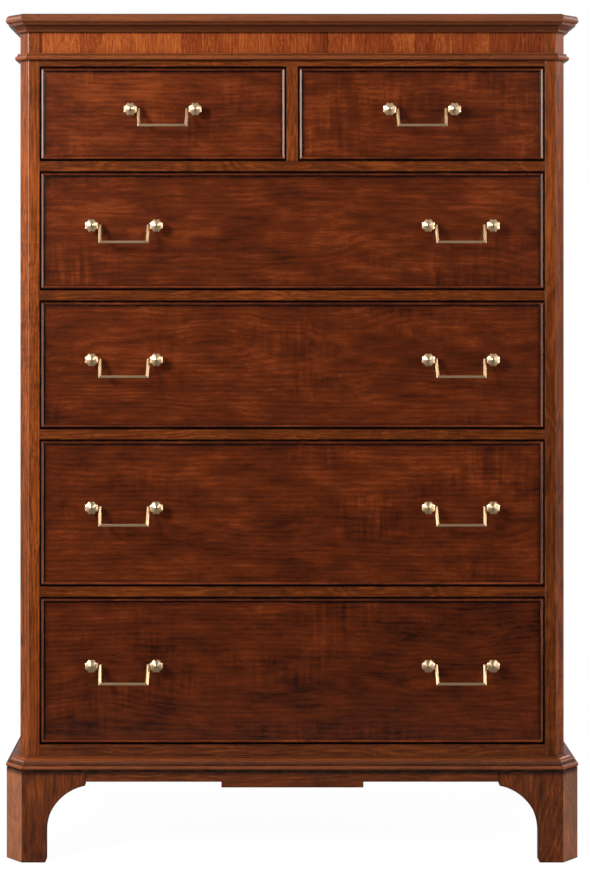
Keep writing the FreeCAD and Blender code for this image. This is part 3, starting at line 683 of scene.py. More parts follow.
@dataclass(frozen=True)
class MetalFinish:
    """A metal fitting's finish.

    Attributes:
        name: The real metal and how its surface was made.
        colour: Colour of the clean metal.
        toned: Colour where it has darkened.
        roughness: Lowest and highest roughness.
        lay: Spacing of the polishing marks, in mm.
        relief: Depth of the polishing marks, in mm.
        relief_share: How much of that depth shows.
        patches: Patches of tarnish to a metre.
        tarnish: How far the patches go towards the darkened colour.
    """
    name: str
    colour: str
    toned: str
    roughness: Span
    lay: float
    relief: float = 0.01
    relief_share: float = 0.03
    patches: float = 30.0
    tarnish: float = 0.35

    def material(self) -> Material:
        """Makes the metal's material.

        Returns:
            The material.
        """
        made = bpy.data.materials.new(self.name)
        made.use_nodes = True
        tree = made.node_tree
        tree.nodes.clear()
        place = add(tree, "TexCoord").outputs["Object"]
        cloud = add(tree, "TexNoise", {"Vector": place, "Scale": self.patches, "Detail": 2.0}).outputs["Fac"]
        marks = add(tree, "TexNoise", {"Vector": place, "Scale": 1000 / self.lay,
                                       "Detail": 2.0}).outputs["Fac"]
        toned = add(tree, "MapRange", {"Value": cloud, "From Min": 0.45, "From Max": 0.75,
                                       "To Max": self.tarnish}).outputs[0]
        colour = add(tree, "Mix", {"Factor": toned, MIX_A: linear(self.colour), MIX_B: linear(self.toned)},
                     data_type="RGBA").outputs[MIX_COLOUR]
        low, high = self.roughness
        rough = add(tree, "MapRange", {"Value": cloud, "From Min": 0.3, "From Max": 0.7, "To Min": low,
                                       "To Max": high}).outputs[0]
        bump = add(tree, "Bump", {"Strength": self.relief_share, "Distance": self.relief * MM,
                                  "Height": marks}).outputs[0]
        shader = add(tree, "BsdfPrincipled", {"Base Color": colour, "Metallic": 1.0, "Roughness": rough,
                                              "Normal": bump})
        add(tree, "OutputMaterial", {"Surface": shader.outputs[0]})
        return made


# Cast brass, cut in facets, polished and lacquered: pale gold highlights and olive-brown darks.
BRASS = MetalFinish("brass_cast_polished", colour="#F3D3A8", toned="#C79A6C", roughness=(0.22, 0.34), lay=0.6)
# The same brass drawn into square bar and left satin: soft pinkish gold.
SATIN_BRASS = MetalFinish("brass_drawn_satin", colour="#F5D2A6", toned="#D2A577", roughness=(0.4, 0.48),
                          lay=0.6)
# Zinc-plated steel screws: a cool grey sheen.
ZINC = MetalFinish("steel_zinc_plated", colour="#B9BCC0", toned="#8E9296", roughness=(0.25, 0.42), lay=0.5)


# ---------------- the case

@dataclass(frozen=True)
class Case:
    """Sizes that the case's pieces share.

    Attributes:
        overhang: How far the cornice stands out from the case.
        cant: Leg of the canted corners.
        stile: Width of a post's front, between the cant and the drawers.
        bottom_rail_face: Height of the bottom rail above the base moulding.
        openings: Heights of the drawers' openings, bottom row first.
        top_rail_face: Height of the top rail below the waist moulding.
        frieze: Height of the frieze between the waist and the cornice.
    """
    width: float = 1016.0
    depth: float = 495.0
    overhang: float = 24.5
    cant: float = 16.5
    stile: float = 19.5
    post_depth: float = 45.0
    side: float = 19.0
    back_panel: float = 6.0
    foot_height: float = 160.0
    base_height: float = 22.5
    bottom_rail_face: float = 20.0
    bottom_rail: float = 26.0
    rail: float = 18.3
    openings: Floats = (261.0, 260.4, 227.8, 210.6, 167.2)
    top_rail_face: float = 11.0
    top_rail: float = 17.3
    waist_height: float = 12.6
    frieze: float = 37.0
    cornice_height: float = 16.0
    rail_depth: float = 60.0
    divider: float = 20.0
    divider_depth: float = 22.0

    @property
    def half(self) -> float:
        """Half the case's width."""
        return self.width / 2 - self.overhang

    @property
    def front(self) -> float:
        """Plane of the case's front."""
        return self.overhang - self.depth / 2

    @property
    def back(self) -> float:
        """Plane of the case's back."""
        return self.depth / 2

    @property
    def opening_half(self) -> float:
        """Half the width between the corner posts."""
        return self.half - self.cant - self.stile

    @property
    def base_top(self) -> float:
        """Top of the base moulding."""
        return self.foot_height + self.base_height

    @property
    def rows(self) -> list[Span]:
        """Lower and upper edge of each row's opening.

        Returns:
            A span for each row, bottom row first.
        """
        rows: list[Span] = []
        low = self.base_top + self.bottom_rail_face
        for opening in self.openings:
            rows.append((low, low + opening))
            low += opening + self.rail
        return rows

    @property
    def waist_low(self) -> float:
        """Lower edge of the waist moulding."""
        return self.rows[-1][1] + self.top_rail_face

    @property
    def cornice_low(self) -> float:
        """Lower edge of the cornice moulding."""
        return self.waist_low + self.waist_height + self.frieze

    @property
    def top(self) -> float:
        """Underside of the top board."""
        return self.cornice_low + self.cornice_height

    def leg(self, offset: Array | float) -> Array | float:
        """Leg of the cants once every face has moved out: it grows by 2 - sqrt(2) of the offset."""
        return self.cant + (2 - math.sqrt(2)) * offset

    def plan(self, offset: Array) -> Array:
        """The canted outline, with every face moved straight out by each offset.

        Args:
            offset: Distances out of the case's faces, (R,).

        Returns:
            Corners from the left side's back round the front to the right side's back, (R, 6, 2).
        """
        offset = np.asarray(offset, float)
        half, front, leg = self.half + offset, self.front - offset, self.leg(offset)
        back = np.full_like(half, self.back)
        x = np.stack([-half, -half, -half + leg, half - leg, half, half], axis=-1)
        y = np.stack([back, front + leg, front, front, front + leg, back], axis=-1)
        return np.stack([x, y], axis=-1)


def turns(profile: Array) -> Array:
    """How sharply a closed profile turns at each of its points.

    Args:
        profile: Closed profile, (C, 2).

    Returns:
        Turns in right angles, (C,): 1 for a square arris, -1 for a square quirk.
    """
    ahead = np.roll(profile, -1, axis=0) - profile
    behind = profile - np.roll(profile, 1, axis=0)
    cross = behind[:, 0] * ahead[:, 1] - behind[:, 1] * ahead[:, 0]
    x, y = profile.T
    way = np.sign(np.sum(x * np.roll(y, -1) - np.roll(x, -1) * y))
    return way * np.arctan2(cross, (behind * ahead).sum(-1)) / (math.pi / 2)


def crisp(profile: Array, reach: float) -> Array:
    """Adds a point on each side of a closed profile's corners, so that painted shade and highlights stay
    beside them.

    A corner is a turn of more than a fifth of a right angle. The new points lie at the reach from it, or
    at 0.45 of the side where the side is short.

    Args:
        profile: Closed profile, (C, 2).
        reach: Distance of the new points from their corner.

    Returns:
        The profile with its new points, (M, 2).
    """
    ends = np.stack([np.roll(profile, 1, axis=0), np.roll(profile, -1, axis=0)], axis=1)
    sides = ends - profile[:, None]
    share = np.minimum(0.45, reach / np.linalg.norm(sides, axis=-1, keepdims=True))
    near = profile[:, None] + sides * share
    points = np.stack([near[:, 0], profile, near[:, 1]], axis=1)
    corner = np.abs(turns(profile)) > 0.2
    return points[np.stack([corner, np.ones_like(corner), corner], axis=1)]


def crease_shade_and_glint(profile: Array) -> tuple[Array, Array]:
    """Painted shade in a profile's hollow corners and against the case, and painted highlights on its
    arrises.

    A hollow corner's painted shade is 1.5 times its turn, up to 0.95. A raised corner's painted highlight is
    0.16 times its turn, up to 0.12. Points less than 0.9 mm out touch the case: their shade is 0.9 and they
    have no highlight.

    Args:
        profile: Closed profile, (C, 2), outwards from the case and upwards.

    Returns:
        Painted shade and painted highlight of each point, 0 to 1.
    """
    turn = turns(profile)
    touching = profile[:, 0] < 0.9
    glaze_and_shade = np.where(touching, 0.9, np.clip(-1.5 * turn, 0, 0.95))
    painted_highlight = np.where(touching, 0.0, np.clip(0.16 * turn, 0, 0.12))
    return glaze_and_shade, painted_highlight


def swept_up(start: Span, end: Span, steps: int) -> Array:
    """A near quarter round that leaves its start upright and comes level to its end.

    It is the circle through both points and a third one, which has gone sqrt(1/2) of the way up and
    1 - sqrt(1/2) of the way across.

    Args:
        start: First point.
        end: Last point.
        steps: Number of segments.

    Returns:
        Points, (steps + 1, 2).
    """
    bend = math.sqrt(0.5)
    via = (end[0] - (end[0] - start[0]) * bend, start[1] + (end[1] - start[1]) * bend)
    return arc(start, via, end, steps)


@dataclass
class Mouldings:
    """Top board, cornice, waist and base mouldings.

    Attributes:
        case: Sizes that the case's pieces share.
        finish: The wood's material.
        cut: Width of the cut on each fillet's arris.
        line: Reach of the painted shade and highlights beside a profile's corners.
        mitre_ease: Radius of the upright arrises where two sticks meet.
        mitre_steps: Number of segments round each of those arrises.
        cant_painted_light: How much lighter the canted sticks are painted than the others, for the light they
            catch.
    """
    case: Case
    finish: Material
    cut: float = 0.4
    line: float = 0.8
    mitre_ease: float = 0.5
    mitre_steps: int = 2
    cant_painted_light: float = 0.12
    top_thickness: float = 15.0
    top_low_round: float = 4.0
    top_high_round: float = 9.5
    top_round_steps: int = 5
    top_corners: Floats = (0.4, 0.8, 0.8, 0.8, 0.8, 0.4)
    # share of the pale highlight painted as a sheen on the top's rounded edge
    top_painted_sheen: float = 0.05
    cornice_shelf: float = 19.5
    cornice_shelf_low: float = 11.5
    cornice_foot: float = 7.0
    cornice_foot_height: float = 4.3
    waist_nose: float = 9.2
    waist_bead: float = 9.0
    waist_fillet: float = 5.0
    waist_step: float = 0.01
    base_neck: float = 22.0
    base_neck_height: float = 1.4
    base_bead_radius: float = 4.3
    base_shelf: float = 19.0
    base_cap: float = 4.0
    base_cap_height: float = 2.5

    def round_the_case(self, profile: Array, level: float, seed: int, tone: float,
                       darkening: list[Span]) -> Shell:
        """A moulding: its closed profile carried round the sides, cants and front, mitred at the corners.

        A profile point (out, up) runs along the outline moved out by out, at the height level + up. Painted
        shade lies in its hollow corners and where it meets the case, and painted highlights on its arrises.

        Args:
            profile: Closed profile, (C, 2), outwards and upwards.
            level: Height of the profile's zero.
            seed: First seed of its five sticks.
            tone: How much lighter than its finish the moulding is.
            darkening: Heights up the profile and the least glazing and painted shade there, for its dark
                lines and
            the faces under its overhangs.

        Returns:
            The moulding.
        """
        steps = self.mitre_steps
        profile = crisp(profile, self.line)
        paths = ease_corners(self.case.plan(profile[:, 0]), self.mitre_ease, steps, False)
        heights = np.broadcast_to((level + profile[:, 1])[:, None, None], (*paths.shape[:2], 1))
        grid = np.concatenate([paths, heights], axis=-1).transpose(1, 0, 2)
        mitres = 1 + np.arange(4) * (steps + 1) + steps // 2
        stick = np.searchsorted(mitres, np.arange(len(grid) - 1), side="right")
        # the canted sticks are painted lighter, for the light they catch from the side
        tones = tone + self.cant_painted_light * np.array([0, 1, 0, 1, 0])
        stocks = [Stock(along, face, seed + i, lighter)
                  for i, ((along, face), lighter) in enumerate(zip(STICKS, tones.tolist()))]
        glaze_and_shade, painted_highlight = crease_shade_and_glint(profile)
        # glazing and painted shade by height, along the profile's dark lines and under its overhangs
        glaze_and_shade = np.maximum(glaze_and_shade, np.interp(profile[:, 1], *zip(*darkening)))
        return Shell(grid, stocks, stick[:, None], glaze_and_shade[None, :], painted_highlight[None, :])

    def top_board(self) -> Shell:
        """Top: the canted outline carried upwards, drawn in over a small round and a large one above it.

        Returns:
            The board.
        """
        edge = self.case.overhang
        low_in, low_up = quarter(self.top_low_round, self.top_round_steps)
        high_down, high_in = quarter(self.top_high_round, self.top_round_steps)
        out = np.concatenate([edge - low_in, edge - high_in])
        up = np.concatenate([low_up, self.top_thickness - high_down])
        rings = ease_corners(self.case.plan(out), np.array(self.top_corners), ARRIS_STEPS, True)
        levels = np.broadcast_to((self.case.top + up)[:, None, None], (*rings.shape[:2], 1))
        grid = np.concatenate([rings, levels], axis=-1)
        # a pale painted sheen on the rounded edge, none on the flat top
        painted_highlight = np.full((len(grid), 1), self.top_painted_sheen)
        painted_highlight[-1] = 0.0
        return Shell(grid, [Stock(X_AXIS, Z_AXIS, 11, 0.06)], painted_highlight=painted_highlight)

    def cornice(self) -> Shell:
        """Shelf fillet, cove and foot fillet.

        Returns:
            The moulding.
        """
        shelf, foot, cut, height = self.cornice_shelf, self.cornice_foot, self.cut, self.case.cornice_height
        cove = swept_up((foot, self.cornice_foot_height), (shelf, self.cornice_shelf_low), 10)
        profile = np.concatenate([[(0, 0), (foot - cut, 0), (foot, cut)], cove,
                                  [(shelf, height - cut), (shelf - cut, height), (0, height)]])
        # glazing and painted shade by height, darkest low in the cove and against the case
        darkening = [(0.0, 0.4), (2.5, 0.15), (4.0, 0.15), (5.2, 0.5), (8.0, 0.15), (10.8, 0.3), (12.0, 0.1),
                 (16.0, 0.3)]
        return self.round_the_case(profile, self.case.cornice_low, 20, -0.05, darkening)

    def waist(self) -> Shell:
        """Fillet over a half-round bead.

        Returns:
            The moulding.
        """
        nose, bead, fillet, cut = self.waist_nose, self.waist_bead, self.waist_fillet, self.cut
        height, root = self.case.waist_height, nose - bead / 2
        half_round = arc((root, 0), (nose, bead / 2), (root, bead), 14)
        profile = np.concatenate([[(0, 0)], half_round,
                                  [(fillet, bead + self.waist_step), (fillet, height - cut),
                                   (fillet - cut, height), (0, height)]])
        # glazing and painted shade by height: under the bead, and a dark line between bead and fillet
        darkening = [(0.0, 0.8), (1.0, 0.4), (2.0, 0.0), (8.0, 0.0), (8.8, 0.8), (9.4, 0.8), (10.2, 0.0),
                 (12.6, 0.1)]
        return self.round_the_case(profile, self.case.waist_low, 30, 0.06, darkening)

    def base(self) -> Shell:
        """Cap fillet, ovolo, quirk, bead and neck.

        Returns:
            The moulding.
        """
        neck, neck_height, radius = self.base_neck, self.base_neck_height, self.base_bead_radius
        cap, cut, nose, height = self.base_cap, self.cut, self.case.overhang, self.case.base_height
        bead_top = neck_height + 2 * radius
        bead = arc((nose - radius, neck_height), (nose, neck_height + radius), (nose - radius, bead_top), 14)
        ovolo = swept_up((self.base_shelf, bead_top), (cap, height - self.base_cap_height), 12)
        profile = np.concatenate([[(0, 0), (neck, 0), (neck, neck_height)], bead, ovolo,
                                  [(cap, height - cut), (cap - cut, height), (0, height)]])
        # glazing and painted shade by height: painted shadow at the neck below the bead, and dark lines above
        # it
        darkening = [(0.0, 0.95), (2.4, 0.9), (4.2, 0.3), (5.5, 0.0), (8.8, 0.0), (9.8, 0.6), (11.0, 0.65),
                 (14.5, 0.55), (16.5, 0.2), (18.0, 0.0), (20.0, 0.0), (21.0, 0.1), (22.5, 0.6)]
        return self.round_the_case(profile, self.case.foot_height, 40, 0.06, darkening)

    def make(self) -> None:
        """Builds and hands over the four pieces."""
        pieces = (("top", self.top_board(), "top_board"), ("cornice", self.cornice(), "cornice_moulding"),
                  ("waist", self.waist(), "waist_moulding"), ("base", self.base(), "base_moulding"))
        for name, shell, node in pieces:
            hand_over(build(name, [shell], self.finish), "root", "cherry_case", node)


@dataclass(frozen=True)
class PostLook:
    """How one corner post was worked and finished.

    Attributes:
        tone: How much lighter than its finish it is.
        glint_strength: Strength of the pale highlight painted on its arrises.
        arris: Radius of the cant's two arrises.
        painted_shade_levels: Least painted shade on its front and on its cant, each at every level of the
            post.
    """
    tone: float
    glint_strength: float
    arris: float
    painted_shade_levels: tuple[Floats, Floats]


# The left post is painted a little lighter, as the more lit one, with painted shade at its foot and painted
# highlights on its arrises that grow upwards. The right one has painted shade that darkens downwards.
POSTS = {"left": PostLook(0.11, 1.0, 1.4, ((0.3, 0.05, 0.0, 0.0, 0.0, 0.0, 0.0, 0.0), (0.0,) * 8)),
         "right": PostLook(0.085, 0.0, 0.6, ((0.62, 0.5, 0.36, 0.38, 0.33, 0.15, 0.03, 0.0),
                                             (0.05, 0.2, 0.28, 0.33, 0.22, 0.25, 0.0, 0.0)))}


@dataclass
class Carcase:
    """Corner posts, sides, rails, divider and frieze.

    Attributes:
        case: Sizes that its pieces share.
        finish: The solid wood's material.
        veneer: The frieze's material.
        ease: Radius of the boards' arrises.
        margin: Width of the border of painted shade on the rails.
        border: Painted shade of a rail's rings, from its front face to its back: the rail darkens into the
            gaps beside the drawers.
        rail_tones: How much lighter than the finish each rail is, bottom one first.
        post_levels: Heights at which a post's glaze is set, apart from its two ends.
        patches: Edges of the frieze's veneers, from left to right.
        patch_tones: How much lighter than the finish each veneer is.
    """
    case: Case
    finish: Material
    veneer: Material
    ease: float = 0.5
    margin: float = 2.2
    border: Floats = (0.0, 0.4, 0.6, 0.8, 0.95, 0.7, 0.5, 0.5, 0.5, 0.5)
    rail_tones: Floats = (-0.1, -0.06, 0.0, -0.02, -0.03, 0.03)
    post_levels: Floats = (400.0, 530.0, 660.0, 800.0, 930.0, 1060.0)
    partition: float = 17.0
    frieze_thickness: float = 20.0
    patches: Floats = (
        -447.5, -443.0, -376.0, -335.0, -273.0, -238.0, -196.0, -105.0, -65.0, -29.0, 36.0, 55.0, 64.0, 115.0,
        180.0, 216.0, 250.0, 284.0, 329.0, 349.0, 430.0, 447.5)
    patch_tones: Floats = (-0.3, 0.14, -0.06, 0.13, 0.1, 0.06, 0.0, 0.07, 0.0, 0.02, -0.06,
                                      -0.2, 0.02, -0.1, 0.08, -0.1, 0.03, 0.0, 0.05, -0.06, -0.1)

    def post(self, look: PostLook) -> Shell:
        """Left corner post: its canted section carried upwards.

        The section has five points round each of its corners: the opening's, the cant's two and the two
        at the back. Painted highlights lie on the cant's arrises, stronger upwards, and painted shade on the
        edges beside the drawers and the side.

        Args:
            look: How it was worked and finished.

        Returns:
            The post.
        """
        c = self.case
        back = c.front + c.post_depth
        section = np.array([(-c.opening_half, c.front), (-c.half + c.cant, c.front),
                            (-c.half, c.front + c.cant), (-c.half, back), (-c.opening_half, back)])
        radii = np.array([self.ease, look.arris, look.arris, self.ease, self.ease])
        outline = ease_corners(section, radii, 4, True)
        levels = np.array([c.foot_height, *self.post_levels, c.top])
        grid = np.empty((len(levels), len(outline), 3))
        grid[..., :2], grid[..., 2] = outline, levels[:, None]
        # pale highlight painted across the cant's arrises, stronger higher up the post
        painted_glint = np.array([0.0, 0.8, 1.0, 0.8, 0.0])
        none = np.zeros(5)
        painted_highlight = np.concatenate([none, painted_glint, painted_glint * 0.4, none, none])
        glint_by_height = np.interp(levels, (800.0, 1150.0, c.top), (0.1, 0.45, 0.6))
        glint = look.glint_strength * glint_by_height * (levels > c.foot_height)
        # painted shade beside the drawers' gap and against the side, then the levels of painted shade up the
        # post
        glaze_and_shade = np.concatenate([[0.9, 0.8, 0.5, 0.2, 0.0], none, none, none, [0.0, 0.9, 0.9, 0.9, 0.9]])
        on_front, on_cant = slice(3, 7), slice(8, 12)
        shade_columns = np.zeros((2, len(outline)))
        shade_columns[0, on_front] = shade_columns[1, on_cant] = 1.0
        glaze_and_shade = np.maximum(glaze_and_shade[None, :], np.array(look.painted_shade_levels).T @ shade_columns)
        return Shell(grid, [Stock(Z_AXIS, FRONT, 51, look.tone)], None, glaze_and_shade, glint[:, None] * painted_highlight[None, :])

    def side(self) -> Shell:
        """Left side panel, from the post to the back."""
        c = self.case
        return block((-c.half, -c.half + c.side), (c.front + c.post_depth, c.back), (c.foot_height, c.top),
                     self.ease, Stock(Z_AXIS, LEFT, 61, 0.02), "x")

    def rails(self) -> list[Shell]:
        """Front rails from the bottom up, and the strip behind the base moulding.

        Returns:
            The rails, and the strip last.
        """
        c = self.case
        levels = [(c.rows[0][0] - c.bottom_rail, c.rows[0][0])]
        levels += [(low - c.rail, low) for low, _ in c.rows[1:]]
        levels.append((c.rows[-1][1], c.rows[-1][1] + c.top_rail))
        across, deep = (-c.opening_half, c.opening_half), (c.front, c.front + c.rail_depth)
        rails = [block(across, deep, span, self.ease, Stock(X_AXIS, FRONT, 70 + i, tone), margin=self.margin)
                 for i, (span, tone) in enumerate(zip(levels, self.rail_tones))]
        # painted shade darkens each rail into the gaps above and below it
        for rail in rails:
            rail.glaze_and_shade = np.array(self.border)[:, None]
        strip = block(across, (c.front, c.front + c.divider_depth), (c.foot_height, levels[0][0]), self.ease,
                      Stock(X_AXIS, FRONT, 79))
        return rails + [strip]

    def dividers(self) -> list[Shell]:
        """Post between the short drawers and the partition behind it.

        Returns:
            The post and the partition.
        """
        c = self.case
        low, high = c.rows[-1]
        back = c.front + c.divider_depth
        post = block((-c.divider / 2, c.divider / 2), (c.front, back), (low, high), self.ease,
                     Stock(Z_AXIS, FRONT, 81, 0.05))
        partition = block((-self.partition / 2, self.partition / 2), (back, c.back - c.back_panel),
                          (low, high), self.ease, Stock(Y_AXIS, X_AXIS, 82), "x")
        return [post, partition]

    def frieze(self) -> Shell:
        """Frieze: one board faced with patches of upright veneer, each from its own leaf.

        Returns:
            The board, with its section as rings and a station at each patch's edge.
        """
        c = self.case
        low, high = c.rows[-1][1] + c.top_rail, c.top
        x = np.array(self.patches)
        face, back = c.front, c.front + self.frieze_thickness
        # painted shadow under the cornice's overhang, fading downwards, and painted shade above the waist
        # moulding
        shown = np.array([(high, 0.55), (high - 3.0, 0.42), (high - 8.0, 0.2), (high - 15.0, 0.02),
                          (low + 12.0, 0.0), (low + 5.0, 0.15), (low, 0.25)])
        ring = np.concatenate([[(back, low), (back, high)], [(face, level) for level in shown[:, 0]]])
        grid = np.empty((len(x), len(ring), 3))
        grid[..., 0] = x[:, None]
        grid[..., 1:] = ring[None]
        stocks = [Stock(Z_AXIS, FRONT, 90 + i, tone) for i, tone in enumerate(self.patch_tones)]
        glaze_and_shade = np.concatenate([[0.0, 0.5], shown[:, 1]])
        return Shell(grid, stocks, np.arange(len(x) - 1)[:, None], glaze_and_shade[None, :])

    def make(self) -> None:
        """Builds and hands over the pieces."""
        for side, look in POSTS.items():
            post = build(f"post_{side}", [on_side(self.post(look), side)], self.finish)
            hand_over(post, "root", "cherry_case", f"corner_post_{side}")
            panel = build(f"side_{side}", [on_side(self.side(), side)], self.finish)
            hand_over(panel, "root", "cherry_case", f"side_panel_{side}")
        hand_over(build("rails", self.rails(), self.finish), "root", "cherry_case", "drawer_rails")
        hand_over(build("divider", self.dividers(), self.finish), "root", "cherry_case", "top_drawer_divider")
        hand_over(build("frieze", [self.frieze()], self.veneer), "root", "frieze_veneer", "frieze_board")


@dataclass(frozen=True)
class Scroll:
    """The bracket's outline, in from the foot's outer corner and up from the floor.

    Attributes:
        width: Width of the foot below the scroll.
        radius: Radius of the scroll.
        spring: Height at which the scroll leaves the foot.
        short: How far before the top of its circle the scroll ends.
        ease: Radius of the foot's inner corner on the floor.
        steps: Number of segments round the scroll.
    """
    width: float = 73.1
    radius: float = 85.0
    spring: float = 51.5
    short: float = 16.2
    ease: float = 3.0
    steps: int = 25

    @property
    def end(self) -> float:
        """Free end of the bracket."""
        return self.width + self.radius - self.short

    def edge(self, start: float) -> Array:
        """The scroll's edge from a point on the floor to the bracket's free end.

        Along the floor, round the eased corner, up the foot, and on a circle: centre + radius (cos, sin).

        Args:
            start: Where it starts on the floor.

        Returns:
            Points, (N, 2).
        """
        centre = self.width + self.radius
        angles = np.linspace(math.pi, math.acos(-self.short / self.radius), self.steps + 1)
        circle = np.stack([centre + self.radius * np.cos(angles),
                           self.spring + self.radius * np.sin(angles)], axis=-1)
        corners = np.array([(start, 0.0), (self.width, 0.0), (self.width, self.spring)])
        return np.concatenate([ease_corners(corners, self.ease, 4, False)[:-1], circle])


@dataclass
class Feet:
    """Bracket feet with canted corners, and the aprons between them.

    Attributes:
        case: Sizes that the case's pieces share.
        finish: The wood's material.
        scroll: Outline of the brackets.
        projection: How far the feet stand out from the case.
        board: Thickness of the brackets.
        ease: Radius of the arris along the scroll.
        rim: Width of the band of painted shade beyond that arris.
        quirk: Depths below the base moulding between which its painted shadow fades.
        away: Distance from the cant's arris at which the board's columns become square to its face.
        bends: Places round each of the cant's arrises, from the arris.
        rounding: How far each of those places is pulled in, as a share of the fold's own pull.
        pull: The fold's pull, which rounds the arris.
        cant_painted_sheen: Share of the pale highlight painted on the canted strip.
        lift: How far the glue blocks stay above the floor.
        back_foot: Width of the rear foot's back bracket on the floor.
        back_reach: Its width at the top.
        back_end: Height of its free end.
        back_board: Its thickness.
        bands: Distances of the front apron's bands of painted shade from its edge.
    """
    case: Case
    finish: Material
    scroll: Scroll = Scroll()
    projection: float = 23.2
    board: float = 22.0
    ease: float = 0.7
    rim: float = 2.5
    quirk: Floats = (0.0, 3.5, 9.0)
    away: float = 12.0
    bends: Floats = (-1.6, -0.8, 0.0, 0.8, 1.6)
    rounding: Floats = (0.0, 0.45, 1.0, 0.45, 0.0)
    pull: float = 0.42
    cant_painted_sheen: float = 0.13
    lift: float = 6.0
    block_size: float = 34.0
    block_corner: float = 0.8
    block_ease: float = 0.5
    rear_ease: float = 0.4
    back_foot: float = 34.0
    back_reach: float = 105.0
    back_end: float = 60.0
    back_board: float = 18.0
    apron_height: float = 18.2
    apron_setback: float = 1.0
    apron_thickness: float = 18.0
    apron_corner: float = 0.9
    apron_ease: float = 0.6
    bands: Floats = (7.5, 3.5)
    drop_half: float = 125.0
    drop: float = 10.0

    @property
    def half(self) -> float:
        """Half the width over the feet."""
        return self.case.half + self.projection

    @property
    def face(self) -> float:
        """Plane of the front feet's faces."""
        return self.case.front - self.projection

    @property
    def leg(self) -> float:
        """Leg of the feet's cant."""
        return self.case.leg(self.projection)

    @property
    def slant(self) -> float:
        """Half the width of the feet's canted face."""
        return self.leg * math.sqrt(2) / 2

    def unfolded(self) -> tuple[Array, Array, Array]:
        """The front foot's board laid flat, with its middle at the middle of the cant.

        A column of the board runs straight from the scroll's edge to its top edge. Its section goes down
        the outer face, round the arris, across the edge and up the inner face.

        Returns:
            Each column's place on the top edge, (N,); place along the board and height of each point of
            its section, (N, D, 2); and the depth of each of those points behind the outer face, (D,).
        """
        right = self.scroll.edge(self.leg + self.away) - np.array([self.leg - self.slant, 0.0])
        bend = self.slant + np.array(self.bends)
        middle = np.concatenate([-bend[::-1], bend])
        on_floor = np.stack([middle, np.zeros_like(middle)], axis=-1)
        edge = np.concatenate([right[::-1] * (-1, 1), on_floor, right])
        spread = np.linspace(right[0, 0], self.scroll.end - self.leg + self.slant, len(right))
        top = np.concatenate([-spread[::-1], middle, spread])
        along = np.gradient(edge, axis=0)
        normal = unit(np.stack([-along[:, 1], along[:, 0]], axis=-1))
        inset, depth = quarter(self.ease)
        inset = np.concatenate([[self.ease + self.rim], inset, [0.0]])
        lower = edge[:, None] + inset[None, :, None] * normal[:, None]
        levels = self.case.foot_height - np.array(self.quirk)
        upper = np.stack(np.broadcast_arrays(top[:, None], levels), axis=-1)
        section = np.concatenate([upper, lower, upper[:, :1]], axis=1)
        return top, section, np.concatenate([np.zeros(len(levels) + 1), depth, [self.board, self.board]])

    def folded(self, depth: Array) -> tuple[Array, Array]:
        """The outline that the front foot's board is folded round, drawn in to each depth.

        Each of the cant's arrises is rounded: a place b from the arris lies |b| along its side, pulled in
        along the sum of both sides' directions.

        Args:
            depth: Depths behind the outer face, (D,).

        Returns:
            Places along the unfolded board, (K,), and where each lies in plan at each depth, (D, K, 2).
        """
        bend = self.slant + np.array(self.bends)
        straight, last = self.slant + self.away, self.scroll.end - self.leg + self.slant
        knots = np.concatenate([[-last, -straight], -bend[::-1], bend, [straight, last]])
        plan = self.case.plan(self.projection - depth)[:, :4]
        plan[:, 0, 1] = self.face + self.scroll.end
        plan[:, 3, 0] = -self.half + self.scroll.end
        sides = [plan[:, i] for i in range(4)]
        square_y = np.full(len(depth), self.face + self.leg + self.away)
        square_x = np.full(len(depth), self.leg + self.away - self.half)
        places = [sides[0], np.stack([plan[:, 1, 0], square_y], axis=-1)]
        for i in (1, 2):
            back, ahead = unit(sides[i - 1] - sides[i]), unit(sides[i + 1] - sides[i])
            pull = (back + ahead) * self.pull
            for step, weight in zip(self.bends, self.rounding):
                places.append(sides[i] + (ahead if step > 0 else back) * abs(step) + pull * weight)
        places += [np.stack([square_x, plan[:, 2, 1]], axis=-1), sides[3]]
        return knots, np.stack(places, axis=1)

    def front_foot(self, tone: float) -> Shell:
        """Left front foot: the scroll's board folded round the canted corner, whose strip has its own tone.

        The place s along the unfolded board lies at the same share of each stretch of the folded outline,
        drawn in by the point's depth.

        Args:
            tone: How much lighter than the finish the canted strip is painted, for the light that falls on
                it.

        Returns:
            The board.
        """
        top, section, depth = self.unfolded()
        knots, ring = self.folded(depth)
        s, level = section[..., 0], section[..., 1:]
        spot = np.clip(np.searchsorted(knots, s, side="right") - 1, 0, len(knots) - 2)
        share = ((s - knots[spot]) / (knots[spot + 1] - knots[spot]))[..., None]
        row = np.broadcast_to(np.arange(len(depth)), s.shape)
        place = ring[row, spot] * (1 - share) + ring[row, spot + 1] * share
        middle = (top[:-1] + top[1:]) / 2
        board_of = np.where(middle < -self.slant, 0, np.where(middle > self.slant, 2, 1))
        stocks = [Stock(Y_AXIS, LEFT, 101, -0.05), Stock(Z_AXIS, (-1.0, -1.0, 0.0), 102, tone),
                  Stock(Z_AXIS, FRONT, 103, -0.03)]
        # painted shadow under the base moulding at the top, and painted shade on the scroll's edge and inner
        # face
        glaze_and_shade = np.array([0.95, 0.75, 0.1, 0.06, 0.45, 0.5, 0.5, 0.5, 0.5, 0.5])
        # pale painted sheen on the canted strip
        painted_highlight = np.where(np.abs(top) <= self.slant + 0.1, self.cant_painted_sheen, 0.0)[:, None]
        grid = np.concatenate([place, level], axis=-1)
        return Shell(grid, stocks, board_of[:, None], glaze_and_shade[None, :], painted_highlight)

